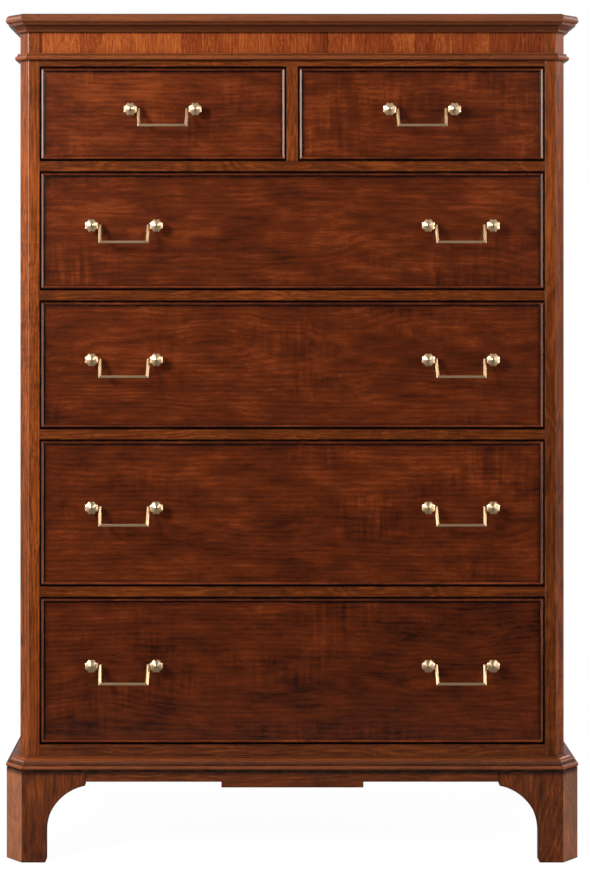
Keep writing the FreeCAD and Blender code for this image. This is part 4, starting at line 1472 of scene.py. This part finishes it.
    def glue_block(self) -> Shell:
        """Corner block behind the left front foot's boards.

        Returns:
            The block.
        """
        inner = self.case.plan(np.array([self.projection - self.board]))[0]
        a, b = inner[1], inner[2]
        size = self.block_size
        section = np.array([a, b, (a[0] + size, b[1]), (a[0] + size, b[1] + size), (a[0], b[1] + size)])
        outline = ease_corners(section, self.block_corner, ARRIS_STEPS, True)
        grid = slab(outline, self.lift, self.case.foot_height, self.block_ease, "xyz")
        return Shell(grid, [Stock(Z_AXIS, FRONT, 104)])

    def rear_foot(self) -> list[Shell]:
        """Left rear foot: side bracket, plain back bracket and the block between them.

        Returns:
            The three pieces.
        """
        height, back = self.case.foot_height, self.case.back
        corner = self.ease * 2
        ring = np.concatenate([self.scroll.edge(corner),
                               [(self.scroll.end, height), (0.0, height), (0.0, corner)]])
        ring = np.stack([back - ring[:, 0], ring[:, 1]], axis=-1)
        inside = -self.half + self.board
        side = Shell(slab(ring, -self.half, inside, self.rear_ease, "yzx"), [Stock(Y_AXIS, LEFT, 105)])
        reach = inside + self.back_reach
        brace = np.array([(inside, 0), (inside + self.back_foot, 0), (reach, height - self.back_end),
                          (reach, height), (inside, height)])
        brace = ease_corners(brace, self.block_corner, ARRIS_STEPS, True)
        rear = Shell(slab(brace, back - self.back_board, back, self.block_ease, "xzy"),
                     [Stock(X_AXIS, (0.0, 1.0, 0.0), 106)])
        glued = block((inside, inside + self.block_size),
                      (back - self.back_board - self.block_size, back - self.back_board), (self.lift, height),
                      self.block_ease, Stock(Z_AXIS, FRONT, 107))
        return [side, rear, glued]

    def aprons(self) -> list[Shell]:
        """Strips between the brackets, the front one lowered in its middle.

        The front strip is painted with the shadow of the base moulding: 0.95 within 1.5 mm of its top, 0.7
        within
        4 mm, and none below.

        Returns:
            The front strip and both side strips.
        """
        height, setback, thickness = self.case.foot_height, self.apron_setback, self.apron_thickness
        low, end = height - self.apron_height, self.half - self.scroll.end
        corners = np.array([(-end, height), (end, height), (end, low), (self.drop_half, low),
                            (self.drop_half, low - self.drop), (-self.drop_half, low - self.drop),
                            (-self.drop_half, low), (-end, low)])
        outline = ease_corners(corners, self.apron_corner, ARRIS_STEPS, True)
        face = self.face + setback
        grid = slab(outline, face, face + thickness, self.apron_ease, "xzy")
        bands = np.repeat(grid[:1], len(self.bands), axis=0)
        for band, margin in zip(bands, self.bands):
            inner = drawn_in(corners, np.array([margin]))[0]
            band[:, [0, 2]] = ease_corners(inner, 0.4, ARRIS_STEPS, True)
        grid = np.concatenate([bands, grid])
        # painted shadow of the base moulding along the strip's top
        glaze_and_shade = np.where(grid[..., 2] > height - 1.5, 0.95, np.where(grid[..., 2] > height - 4.0, 0.7, 0.0))
        front = Shell(grid, [Stock(X_AXIS, FRONT, 111, -0.05)], None, glaze_and_shade)
        side = block((-self.half + setback, -self.half + setback + thickness),
                     (self.face + self.scroll.end, self.case.back - self.scroll.end), (low, height),
                     self.apron_ease, Stock(Y_AXIS, LEFT, 112), "x")
        return [front, side, mirrored(side)]

    def make(self) -> None:
        """Builds and hands over the feet and aprons."""
        # the left cant is painted lighter than the right, for the light from the left
        for side, tone in (("left", 0.21), ("right", 0.04)):
            boards = [on_side(shell, side) for shell in (self.front_foot(tone), self.glue_block())]
            front = build(f"front_foot_{side}", boards, self.finish)
            hand_over(front, "root", "cherry_case", f"foot_front_{side}")
            boards = [on_side(shell, side) for shell in self.rear_foot()]
            rear = build(f"rear_foot_{side}", boards, self.finish)
            hand_over(rear, "root", "cherry_case", f"foot_rear_{side}")
        hand_over(build("apron_strips", self.aprons(), self.finish), "root", "cherry_case", "aprons")


# ---------------- drawers and pulls

@dataclass
class Pull:
    """One bail pull: two faceted posts, a square bail and the screws behind them.

    Attributes:
        x: Middle of the pull.
        z: Height of its pivots.
        face: Plane of the drawer's flat face.
        back: Plane of the drawer front's back.
        centres: Distance between its posts.
        rings: Rings of a post: distance from the face, width over the flats, sixteenths of a turn.
        pivot_height: Distance of the pivots from the face.
        bail_drop: How far the hanging bail's bar is below its pivots.
        bail_lean: How far it is in front of them.
        bar_half: Half the diagonal of the square bar.
        arm_inset: Distance of the bail's knees from the posts' middles.
        arm_splay: How far the arms come closer on their way down.
        neck_gap: Gap between the bail and each neck.
        pivot_end: How far a pivot reaches past its post's middle.
        screw_radii: Radii of the screw head's rings, from its rim to its middle.
        screw_round: Radius at which the head's dome would come down to the wood.
        slot_half: Half the width of a slot of its cross recess.
        slot_reach: Radius of the cross.
        slot_depth: Depth of the cross.
        screw_gap: Gap between the head and the wood.
    """
    x: float
    z: float
    face: float
    back: float
    centres: float = 114.3
    rings: tuple[tuple[float, float, int], ...] = (
        (0.0, 13.0, 0), (1.6, 13.0, 0), (1.6, 9.0, 0), (15.3, 9.0, 0),
        (16.6, 22.6, 0), (17.9, 22.6, 0), (20.7, 17.0, 1), (23.7, 3.0, 2))
    pivot_height: float = 12.3
    bail_drop: float = 29.0
    bail_lean: float = 15.5
    bar_half: float = 2.72
    arm_inset: float = 14.2
    arm_splay: float = 1.5
    neck_flats: float = 9.0
    neck_gap: float = 0.4
    pivot_radius: float = 2.0
    pivot_end: float = 1.2
    pivot_sides: int = 20
    screw_radii: Floats = (4.2, 4.2, 4.1, 3.8, 3.2, 2.5, 2.3, 1.6, 0.9, 0.45)
    screw_height: float = 2.4
    screw_round: float = 4.25
    screw_sides: int = 32
    slot_half: float = 0.5
    slot_reach: float = 2.4
    slot_depth: float = 1.1
    screw_gap: float = 0.02

    def post(self, side: int) -> Shell:
        """Eight-sided collar, neck and knob: rings of eight points at their distances from the face.

        Args:
            side: -1 for the left post, 1 for the right one.

        Returns:
            The post.
        """
        distance, flats, turn = np.array(self.rings).T
        angle = (np.arange(8) + 0.5) * math.pi / 4 + (turn * math.pi / 8)[:, None]
        radius = (flats / 2 / math.cos(math.pi / 8))[:, None]
        x = self.x + side * self.centres / 2 + radius * np.cos(angle)
        z = self.z + radius * np.sin(angle)
        y = np.broadcast_to((self.face - distance)[:, None], x.shape)
        return Shell(np.stack([x, y, z], axis=-1), facets=True)

    def bail(self) -> list[Shell]:
        """Square bar carried edge-on along its mitred line, and a round pivot at each end.

        At each point of the line the section lies in the mitre's plane: half its diagonal along the
        mitre direction, stretched by one over its cosine, and half of it along the bail's normal.

        Returns:
            The bar and its two pivots.
        """
        lean = math.atan2(self.bail_lean, self.bail_drop)
        length = math.hypot(self.bail_lean, self.bail_drop)
        down = np.array([0.0, -math.sin(lean), -math.cos(lean)])
        normal = np.array([0.0, -math.cos(lean), math.sin(lean)])
        start = self.centres / 2 - self.neck_flats / 2 - self.neck_gap
        knee = self.centres / 2 - self.arm_inset
        foot = knee - self.arm_splay
        across = np.array([-start, -knee, -foot, foot, knee, start])
        fall = np.array([0.0, 0.0, length, length, 0.0, 0.0])
        centre = np.array([self.x, self.face - self.pivot_height, self.z])
        line = centre + across[:, None] * np.array(X_AXIS) + fall[:, None] * down
        ahead = unit(np.diff(line, axis=0))
        before = np.concatenate([ahead[:1], ahead])
        after = np.concatenate([ahead, ahead[-1:]])
        side = unit(np.cross(normal, before) + np.cross(normal, after))
        side = side * (self.bar_half / (side * np.cross(normal, before)).sum(-1, keepdims=True))
        raised = np.broadcast_to(normal * self.bar_half, line.shape)
        bar = np.stack([line + side, line + raised, line - side, line - raised], axis=1)
        reach = self.centres / 2 + self.pivot_end
        return [Shell(bar), self.pin((-reach, -start)), self.pin((start, reach))]

    def pin(self, span: Span) -> Shell:
        """A round pivot: a circle of points carried along X.

        Args:
            span: Its two ends, from the middle of the pull.

        Returns:
            The pivot.
        """
        angle = np.linspace(0, 2 * math.pi, self.pivot_sides, endpoint=False)
        grid = np.empty((2, self.pivot_sides, 3))
        grid[..., 0] = self.x + np.array(span)[:, None]
        grid[..., 1] = self.face - self.pivot_height + self.pivot_radius * np.cos(angle)
        grid[..., 2] = self.z + self.pivot_radius * np.sin(angle)
        return Shell(grid)

    def screw(self, side: int) -> Shell:
        """Pan-head screw inside the drawer: a dome turned about its axis, sunk by a cross recess.

        At radius r the head stands height sqrt(1 - (r / round)^4), less the recess wherever the point
        lies within half a slot's width of either line of the cross.

        Args:
            side: -1 for the left post's screw, 1 for the right one's.

        Returns:
            The screw's head.
        """
        r = np.array(self.screw_radii)[:, None]
        angle = (np.arange(self.screw_sides) + 0.5) * 2 * math.pi / self.screw_sides
        dome = self.screw_height * np.sqrt(np.clip(1 - (r / self.screw_round) ** 4, 0, 1))
        dome[0] = 0.0
        off_cross = np.minimum(abs(r * np.cos(angle)), abs(r * np.sin(angle)))
        slot = (off_cross < self.slot_half) & (r < self.slot_reach)
        rise = np.maximum(dome - self.slot_depth * slot, 0.0)
        rise[-1] = rise[-1].min()
        x = self.x + side * self.centres / 2 + r * np.cos(angle)
        z = self.z + r * np.sin(angle)
        return Shell(np.stack([x, self.back + self.screw_gap + rise, z], axis=-1))


@dataclass
class Drawer:
    """One drawer: beaded front and its pulls.

    Attributes:
        case: Sizes that the case's pieces share.
        name: The drawer's name, which its body and its nodes start with.
        x: Its opening from left to right.
        z: Its opening from bottom to top.
        seed: First seed of its boards.
        tone: How much lighter than its finish the front is.
        reveal: Gap between the front and its opening.
        setback: Distance of the front's flat face behind the case's.
        ledge: Width of the ledge outside the bead, painted dark as shade in the gap.
        bead: Distance of the bead's inner edge from the front's own edge.
        shadow: Depth behind the flat face where the painted shade on the front's edge begins to darken.
        shoulder: Height of the bead's foot above the flat face, and depth of the ledge's edge behind it.
        crown: Height of the bead above its foot.
        quirk: Depth of the groove inside the bead.
        beyond: Distances of the groove's and the flat face's rings from the bead's inner edge.
        edge_inset: How far the board's edge is drawn in, so that no two rings meet.
        corner: Leg of the small cut on each of the front's corners.
        strip_tone: How much lighter than its finish the bead is.
        pull_rise: Height of the pulls above the opening's middle, as a share of its height.
        pull_offset: Distance of a long drawer's pulls from its middle.
    """
    case: Case
    name: str
    x: Span
    z: Span
    seed: int
    tone: float
    reveal: float = 1.6
    setback: float = 1.5
    thickness: float = 21.0
    ledge: float = 1.5
    bead: float = 5.8
    shadow: float = 4.0
    shoulder: float = 1.0
    crown: float = 1.6
    quirk: float = 0.5
    beyond: Floats = (0.0, 0.4, 1.2, 2.6, 4.2, 6.5, 15.0)
    edge_inset: float = 0.03
    corner: float = 0.15
    strip_tone: float = 0.05
    pull_rise: float = 0.042
    pull_offset: float = 297.0

    @property
    def face(self) -> float:
        """Plane of the front's flat face."""
        return self.case.front + self.setback

    @property
    def pulls(self) -> dict[str, Pull]:
        """Its pulls: two on a long drawer, one on a short one.

        Returns:
            The pulls by the names of their bails.
        """
        (left, right), (low, high) = self.x, self.z
        level = (low + high) / 2 + self.pull_rise * (high - low)
        places = {"": (left + right) / 2}
        if left < 0 < right:
            places = {"_left": -self.pull_offset, "_right": self.pull_offset}
        back = self.face + self.thickness
        return {f"{self.name}_bail{end}": Pull(x, level, self.face, back) for end, x in places.items()}

    def painted_shade_and_glint(self, t: Array) -> tuple[Array, Array]:
        """Painted shade and painted highlight of the front's rings on its lower, right, upper and left sides.

        Painted shade fills the ledge, and the groove as the bead's shadow: less on the right side and least
        on the lower. A highlight painted across the beads on the right and left follows sin(t)^5, and grows
        with the drawer's height in the case.

        Args:
            t: Angles across the bead, 0 to 180 degrees.

        Returns:
            Painted shade and painted highlight, (rings, 4) each.
        """
        # painted shade in the gap, on the ledge and up the bead's outer flank
        rising = np.interp(t[:6], (0.0, 0.9, math.pi / 2), (1.0, 0.8, 0.15))
        outer = np.concatenate([[0.1, 0.35, 1.0], rising])
        inner = np.array([0.15, 0.2, 0.35, 0.6, 0.8])
        groove = np.array([1.0, 1.0, 1.0, 0.8, 0.4, 0.12, 0.0])
        # the bead's painted shadow in the groove, by side: lower, right, upper, left
        glaze_and_shade = np.stack([np.concatenate([outer, inner * share, groove * share])
                          for share in (0.25, 0.65, 1.0, 1.0)], axis=-1)
        # pale highlight painted on the upright beads, stronger in the higher drawers
        upright = np.interp(self.z[0], (200.0, 600.0, 1000.0, 1235.0), (0.03, 0.08, 0.3, 0.8))
        across = np.concatenate([np.zeros(3), np.sin(t) ** 5, np.zeros(len(self.beyond))])
        return glaze_and_shade, across[:, None] * np.array([0.0, upright, 0.0, upright])

    def front(self) -> Shell:
        """Drawer front: its edge drawn in over a ledge painted dark, a half-round bead, a groove and the flat
        face.

        Across the bead, t from 0 to 180 degrees, the inset from the ledge is bead (1 - cos t) / 2 and the
        height above the flat face is shoulder + crown sin t. Each corner has a point for each of its two
        sides, because painted shade and painted highlights differ on the lower, right, upper and left sides.

        Returns:
            The front.
        """
        t = np.linspace(0, math.pi, 11)
        inset = np.concatenate([np.full(3, self.edge_inset),
                                self.ledge + (self.bead - self.ledge) * (1 - np.cos(t)) / 2,
                                self.bead + np.array(self.beyond)])
        rise = np.concatenate([[-self.thickness, -self.shadow, -self.shoulder],
                               self.shoulder + self.crown * np.sin(t),
                               [0.0, -self.quirk, 0.0, 0.0, 0.0, 0.0, 0.0]])
        left, right = self.x[0] + self.reveal, self.x[1] - self.reveal
        low, high = self.z[0] + self.reveal, self.z[1] - self.reveal
        corners = np.array([(left, low), (right, low), (right, high), (left, high)])
        rings = np.repeat(drawn_in(corners, inset), 2, axis=1)
        rings += self.corner * np.array([(0, 1), (1, 0), (-1, 0), (0, 1), (0, -1), (-1, 0), (1, 0), (0, -1)])
        depth = np.broadcast_to((self.face - rise)[:, None], rings.shape[:2])
        grid = np.stack([rings[..., 0], depth, rings[..., 1]], axis=-1)
        board = Stock(X_AXIS, FRONT, self.seed, self.tone)
        level_strip = Stock(X_AXIS, FRONT, self.seed + 1, self.strip_tone)
        upright_strip = Stock(Z_AXIS, FRONT, self.seed + 2, self.strip_tone)
        stock_of = np.zeros((len(inset) - 1, 8), int)
        stock_of[2:15] = (1, 1, 2, 2, 1, 1, 2, 2)
        glaze_and_shade, painted_highlight = self.painted_shade_and_glint(t)
        side_of = [3, 0, 0, 1, 1, 2, 2, 3]
        return Shell(grid, [board, level_strip, upright_strip], stock_of, glaze_and_shade[:, side_of], painted_highlight[:, side_of])

    def make(self, wood: Material, brass: Material, satin: Material, zinc: Material) -> None:
        """Builds the front, posts, bails and screws, and hands them over.

        Args:
            wood: Finish of the front.
            brass: Finish of the posts.
            satin: Finish of the bails.
            zinc: Finish of the screws.
        """
        face = build(f"{self.name}_face", [self.front()], wood)
        hand_over(face, self.name, "cherry_front", f"{self.name}_front")
        posts = [pull.post(side) for pull in self.pulls.values() for side in (-1, 1)]
        hand_over(build(f"{self.name}_knobs", posts, brass, 0.22), self.name, "brass", f"{self.name}_pulls")
        screws = [pull.screw(side) for pull in self.pulls.values() for side in (-1, 1)]
        hand_over(build(f"{self.name}_screws", screws, zinc), self.name, "brass")
        for node, pull in self.pulls.items():
            hand_over(build(f"{node}_bar", pull.bail(), satin, 0.3), node, "brass", node)


class Unseen:
    """Dresses the nodes that keep their own shape: drawer boxes, frames, dust panels and back."""

    def __init__(self, nodes: dict[str, bpy.types.Object]) -> None:
        """Keeps the frame's nodes and makes the materials they take.

        Args:
            nodes: The frame's nodes by name.
        """
        self.nodes = nodes
        self.poplar = {grain: POPLAR.material(grain) for grain in (Grain.ACROSS, Grain.DEEP)}
        self.plywood = {grain: PLYWOOD.material(grain) for grain in (Grain.ACROSS, Grain.UPRIGHT)}

    def dress(self, name: str, finish: Material) -> None:
        """Gives one node its material.

        Args:
            name: The node's name.
            finish: The material.
        """
        mesh = self.nodes[name].data
        mesh.materials.clear()
        mesh.materials.append(finish)
        log.info("%s: %s", name, finish.name)

    def make(self) -> None:
        """Dresses every node that is left."""
        for name in self.nodes:
            if name.endswith("_sides") or name == "runner_frames":
                self.dress(name, self.poplar[Grain.DEEP])
            elif name.endswith("_back") or name == "drawer_stops":
                self.dress(name, self.poplar[Grain.ACROSS])
            elif name.endswith("_panel") and name.startswith("drawer"):
                self.dress(name, self.plywood[Grain.ACROSS])
        self.dress("dust_panels", self.plywood[Grain.ACROSS])
        self.dress("back_panel", self.plywood[Grain.UPRIGHT])


# ---------------- studio

@dataclass
class Studio:
    """White floor, soft lamps and the camera.

    Attributes:
        frame_width: Width of the picture, in pixels.
        frame_height: Height of the picture, in pixels.
        sensor: Width of the camera's sensor, in mm.
        lens: Focal length, in mm.
        vanishing: Point of the picture that lies straight ahead, in pixels from its upper left corner.
        camera_place: Place of the camera, in metres.
        level: Light of the room on dull surfaces.
        dark: Shade that gloss sees straight in front.
        behind: Shade that gloss sees straight behind.
        room: Share of the way from front to back, and the shade that gloss sees there.
        paper_reach: Radius of the floor, in metres.
        paper_middle: How far its middle is behind the origin, in metres.
        paper_drop: How far it is below the feet, in metres.
        paper_sides: Number of its sides.
        paper_fade: Shares of its radius between which its shadows fade out.
        paper_own: Share of its own light in its middle.
        paper_lift: Strength of its own light in its middle.
        lamps: Name, place, aim, width and height, and power of each soft box, in metres and watts.
    """
    frame_width: int = 590
    frame_height: int = 882
    sensor: float = 36.0
    lens: float = 76.053
    vanishing: Span = (260.0, 280.7)
    camera_place: Point = (-0.057, -3.523, 1.0235)
    level: float = 0.15
    dark: float = 0.015
    behind: float = 0.3
    room: tuple[Span, ...] = ((0.11, 0.05), (0.18, 0.45), (0.36, 0.45), (0.46, 0.16), (0.56, 0.16))
    paper_reach: float = 1.5
    paper_middle: float = 0.35
    paper_drop: float = 0.0006
    paper_sides: int = 96
    paper_fade: Span = (0.55, 0.97)
    paper_own: float = 0.85
    paper_lift: float = 1.14
    lamps: tuple[tuple[str, Point, Point, Span, float], ...] = (
        ("key", (-2.15, -2.25, 2.15), (0.0, -0.2, 0.95), (0.8, 0.8), 89.0),
        ("fill", (2.4, -3.4, 2.4), (0.0, -0.2, 0.9), (1.6, 1.6), 22.0),
        ("left_strip", (-2.8, -0.9, 1.0), (0.0, -0.2, 0.9), (0.5, 2.2), 26.0),
        ("right_strip", (2.8, -0.9, 1.0), (0.0, -0.2, 0.9), (0.5, 2.2), 45.0),
        ("left_rim", (-2.8, 0.6, 2.25), (0.0, -0.2, 1.1), (0.6, 1.3), 11.0),
        ("right_rim", (2.8, 0.6, 2.25), (0.0, -0.2, 1.1), (0.6, 1.3), 11.0),
        ("rear", (1.2, 3.4, 3.0), (0.0, 0.0, 0.9), (2.5, 2.0), 50.0))

    def camera(self) -> None:
        """A long lens at a level horizon, shifted down to take in the feet."""
        data = bpy.data.cameras.new("camera")
        data.sensor_width, data.lens = self.sensor, self.lens
        data.shift_x = (self.frame_width / 2 - self.vanishing[0]) / self.frame_height
        data.shift_y = -(self.frame_height / 2 - self.vanishing[1]) / self.frame_height
        data.clip_start, data.clip_end = 0.1, 60.0
        camera = bpy.data.objects.new("camera", data)
        camera.location = self.camera_place
        camera.rotation_euler = (math.pi / 2, 0.0, 0.0)
        bpy.context.scene.collection.objects.link(camera)
        bpy.context.scene.camera = camera

    def paper(self) -> Material:
        """Makes the floor's material: white to the camera where no shadow falls, and duller in the gloss.

        Returns:
            The material.
        """
        made = bpy.data.materials.new("floor_matt_white_paper")
        made.use_nodes = True
        tree = made.node_tree
        tree.nodes.clear()
        path = add(tree, "LightPath").outputs
        shade = add(tree, "Mix", {"Factor": path["Is Glossy Ray"], MIX_A: linear("#A8A8A8"),
                                  MIX_B: linear("#7A7875")}, data_type="RGBA").outputs[MIX_COLOUR]
        paper = add(tree, "BsdfDiffuse", {"Color": shade}).outputs[0]
        place = add(tree, "TexCoord").outputs["Object"]
        radius = add(tree, "VectorMath", {0: place, 1: (0.0, self.paper_middle, 0.0)},
                     operation="DISTANCE").outputs["Value"]
        inner, outer = self.paper_fade
        own = add(tree, "MapRange", {
            "Value": radius, "From Min": inner * self.paper_reach, "From Max": outer * self.paper_reach,
            "To Min": self.paper_own, "To Max": 1.0}).outputs[0]
        # the paper's own light falls by what the lamps already give it, so bare paper is just white
        level = add(tree, "MapRange", {"Value": own, "From Min": self.paper_own, "From Max": 1.0,
                                       "To Min": self.paper_lift, "To Max": 1.0}).outputs[0]
        white = add(tree, "Emission", {"Color": (1.0, 1.0, 1.0, 1.0), "Strength": level}).outputs[0]
        share = add(tree, "Math", {0: path["Is Camera Ray"], 1: own}, operation="MULTIPLY").outputs[0]
        seen = add(tree, "MixShader", {0: share, 1: paper, 2: white}).outputs[0]
        add(tree, "OutputMaterial", {"Surface": seen})
        return made

    def floor(self) -> None:
        """A round white sweep that keeps the chest's soft shadow."""
        angle = np.linspace(0, 2 * math.pi, self.paper_sides, endpoint=False)
        rim = np.stack([self.paper_reach * np.cos(angle),
                        self.paper_middle + self.paper_reach * np.sin(angle),
                        np.full(self.paper_sides, -self.paper_drop)], axis=-1)
        mesh = bpy.data.meshes.new("floor")
        mesh.from_pydata(rim.tolist(), [], [list(range(self.paper_sides))])
        mesh.materials.append(self.paper())
        floor = bpy.data.objects.new("floor", mesh)
        bpy.context.scene.collection.objects.link(floor)
        floor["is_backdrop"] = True

    def world(self) -> None:
        """White to the camera, even in the light, and in the gloss a dark room with bright walls in front.

        The gloss reads one shade for each share of the way from straight in front to straight behind.
        """
        world = bpy.data.worlds.new("studio")
        bpy.context.scene.world = world
        world.use_nodes = True
        tree = world.node_tree
        tree.nodes.clear()
        path = add(tree, "LightPath").outputs
        seen = add(tree, "Math", {0: path["Is Camera Ray"], 1: path["Is Transmission Ray"]},
                   operation="MAXIMUM").outputs[0]
        way = add(tree, "SeparateXYZ", {0: add(tree, "TexCoord").outputs["Generated"]}).outputs["Y"]
        share = add(tree, "MapRange", {"Value": way, "From Min": -1.0}).outputs[0]
        shades = add(tree, "ValToRGB", {"Fac": share})
        stops = shades.color_ramp.elements
        stops[0].position, stops[0].color = 0.06, (self.dark, self.dark, self.dark, 1.0)
        stops[1].position, stops[1].color = 0.75, (self.behind, self.behind, self.behind, 1.0)
        for position, shade in self.room:
            stops.new(position).color = (shade, shade, shade, 1.0)
        glossy = path["Is Glossy Ray"]
        gloss = add(tree, "Math", {0: glossy, 1: shades.outputs["Color"]}, operation="MULTIPLY").outputs[0]
        spread = add(tree, "Math", {0: glossy, 1: self.level}, operation="LESS_THAN").outputs[0]
        strength = add(tree, "Math", {0: spread, 1: self.level, 2: gloss},
                       operation="MULTIPLY_ADD").outputs[0]
        lit = add(tree, "Background", {"Color": linear("#FFFDFA"), "Strength": strength}).outputs[0]
        white = add(tree, "Background", {"Color": (1.0, 1.0, 1.0, 1.0), "Strength": 1.0}).outputs[0]
        shown = add(tree, "MixShader", {0: seen, 1: lit, 2: white}).outputs[0]
        add(tree, "OutputWorld", {"Surface": shown})

    def lamp(self, name: str, place: Point, aim: Point, size: Span, power: float) -> None:
        """Adds one soft box.

        Args:
            name: Its name.
            place: Its middle, in metres.
            aim: The point it faces.
            size: Its width and height, in metres.
            power: Its power in watts.
        """
        data = bpy.data.lights.new(name, "AREA")
        data.shape, data.size, data.size_y, data.energy = "RECTANGLE", *size, power
        lamp = bpy.data.objects.new(name, data)
        lamp.location = place
        way = Vector(aim) - Vector(place)
        lamp.rotation_euler = way.to_track_quat("-Z", "Y").to_euler()
        bpy.context.scene.collection.objects.link(lamp)

    def make(self) -> None:
        """Sets everything up."""
        bpy.context.scene.view_settings.view_transform = "Standard"
        self.camera()
        self.floor()
        self.world()
        for lamp in self.lamps:
            self.lamp(*lamp)


def drawers(case: Case) -> list[Drawer]:
    """The six drawers of the case.

    Args:
        case: Sizes that the case's pieces share.

    Returns:
        The drawers, from the bottom row up.
    """
    middle = case.divider / 2
    whole = (-case.opening_half, case.opening_half)
    places = [("drawer_bottom", whole, 0, 200, -0.14), ("drawer_lower", whole, 1, 210, -0.05),
              ("drawer_middle", whole, 2, 220, -0.06), ("drawer_upper", whole, 3, 230, -0.03),
              ("drawer_top_left", (-case.opening_half, -middle), 4, 240, 0.0),
              ("drawer_top_right", (middle, case.opening_half), 4, 250, 0.0)]
    return [Drawer(case, name, x, case.rows[row], seed, tone) for name, x, row, seed, tone in places]


def corners(box: tuple[Vector, Vector]) -> list[list[float]]:
    """A box's two corners as plain lists of numbers."""
    return [[float(c) for c in corner] for corner in box]


def main() -> None:
    """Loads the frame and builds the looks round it."""
    logging.basicConfig(level=logging.INFO, format="%(name)s %(message)s")
    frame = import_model()
    cad = corners(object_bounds())
    case = Case()
    cherry = CASE_CHERRY.material(Grain.TIMBER)
    veneer = FRIEZE_VENEER.material(Grain.TIMBER)
    fronts = FRONT_CHERRY.material(Grain.TIMBER)
    metals = [metal.material() for metal in (BRASS, SATIN_BRASS, ZINC)]
    Unseen(frame["nodes"]).make()
    Mouldings(case, MOULDED_CHERRY.material(Grain.TIMBER)).make()
    Carcase(case, cherry, veneer).make()
    Feet(case, cherry).make()
    for drawer in drawers(case):
        drawer.make(fronts, *metals)
    Studio().make()
    {"cad": cad, "visual": corners(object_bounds())}


if __name__ == "__main__":
    main()
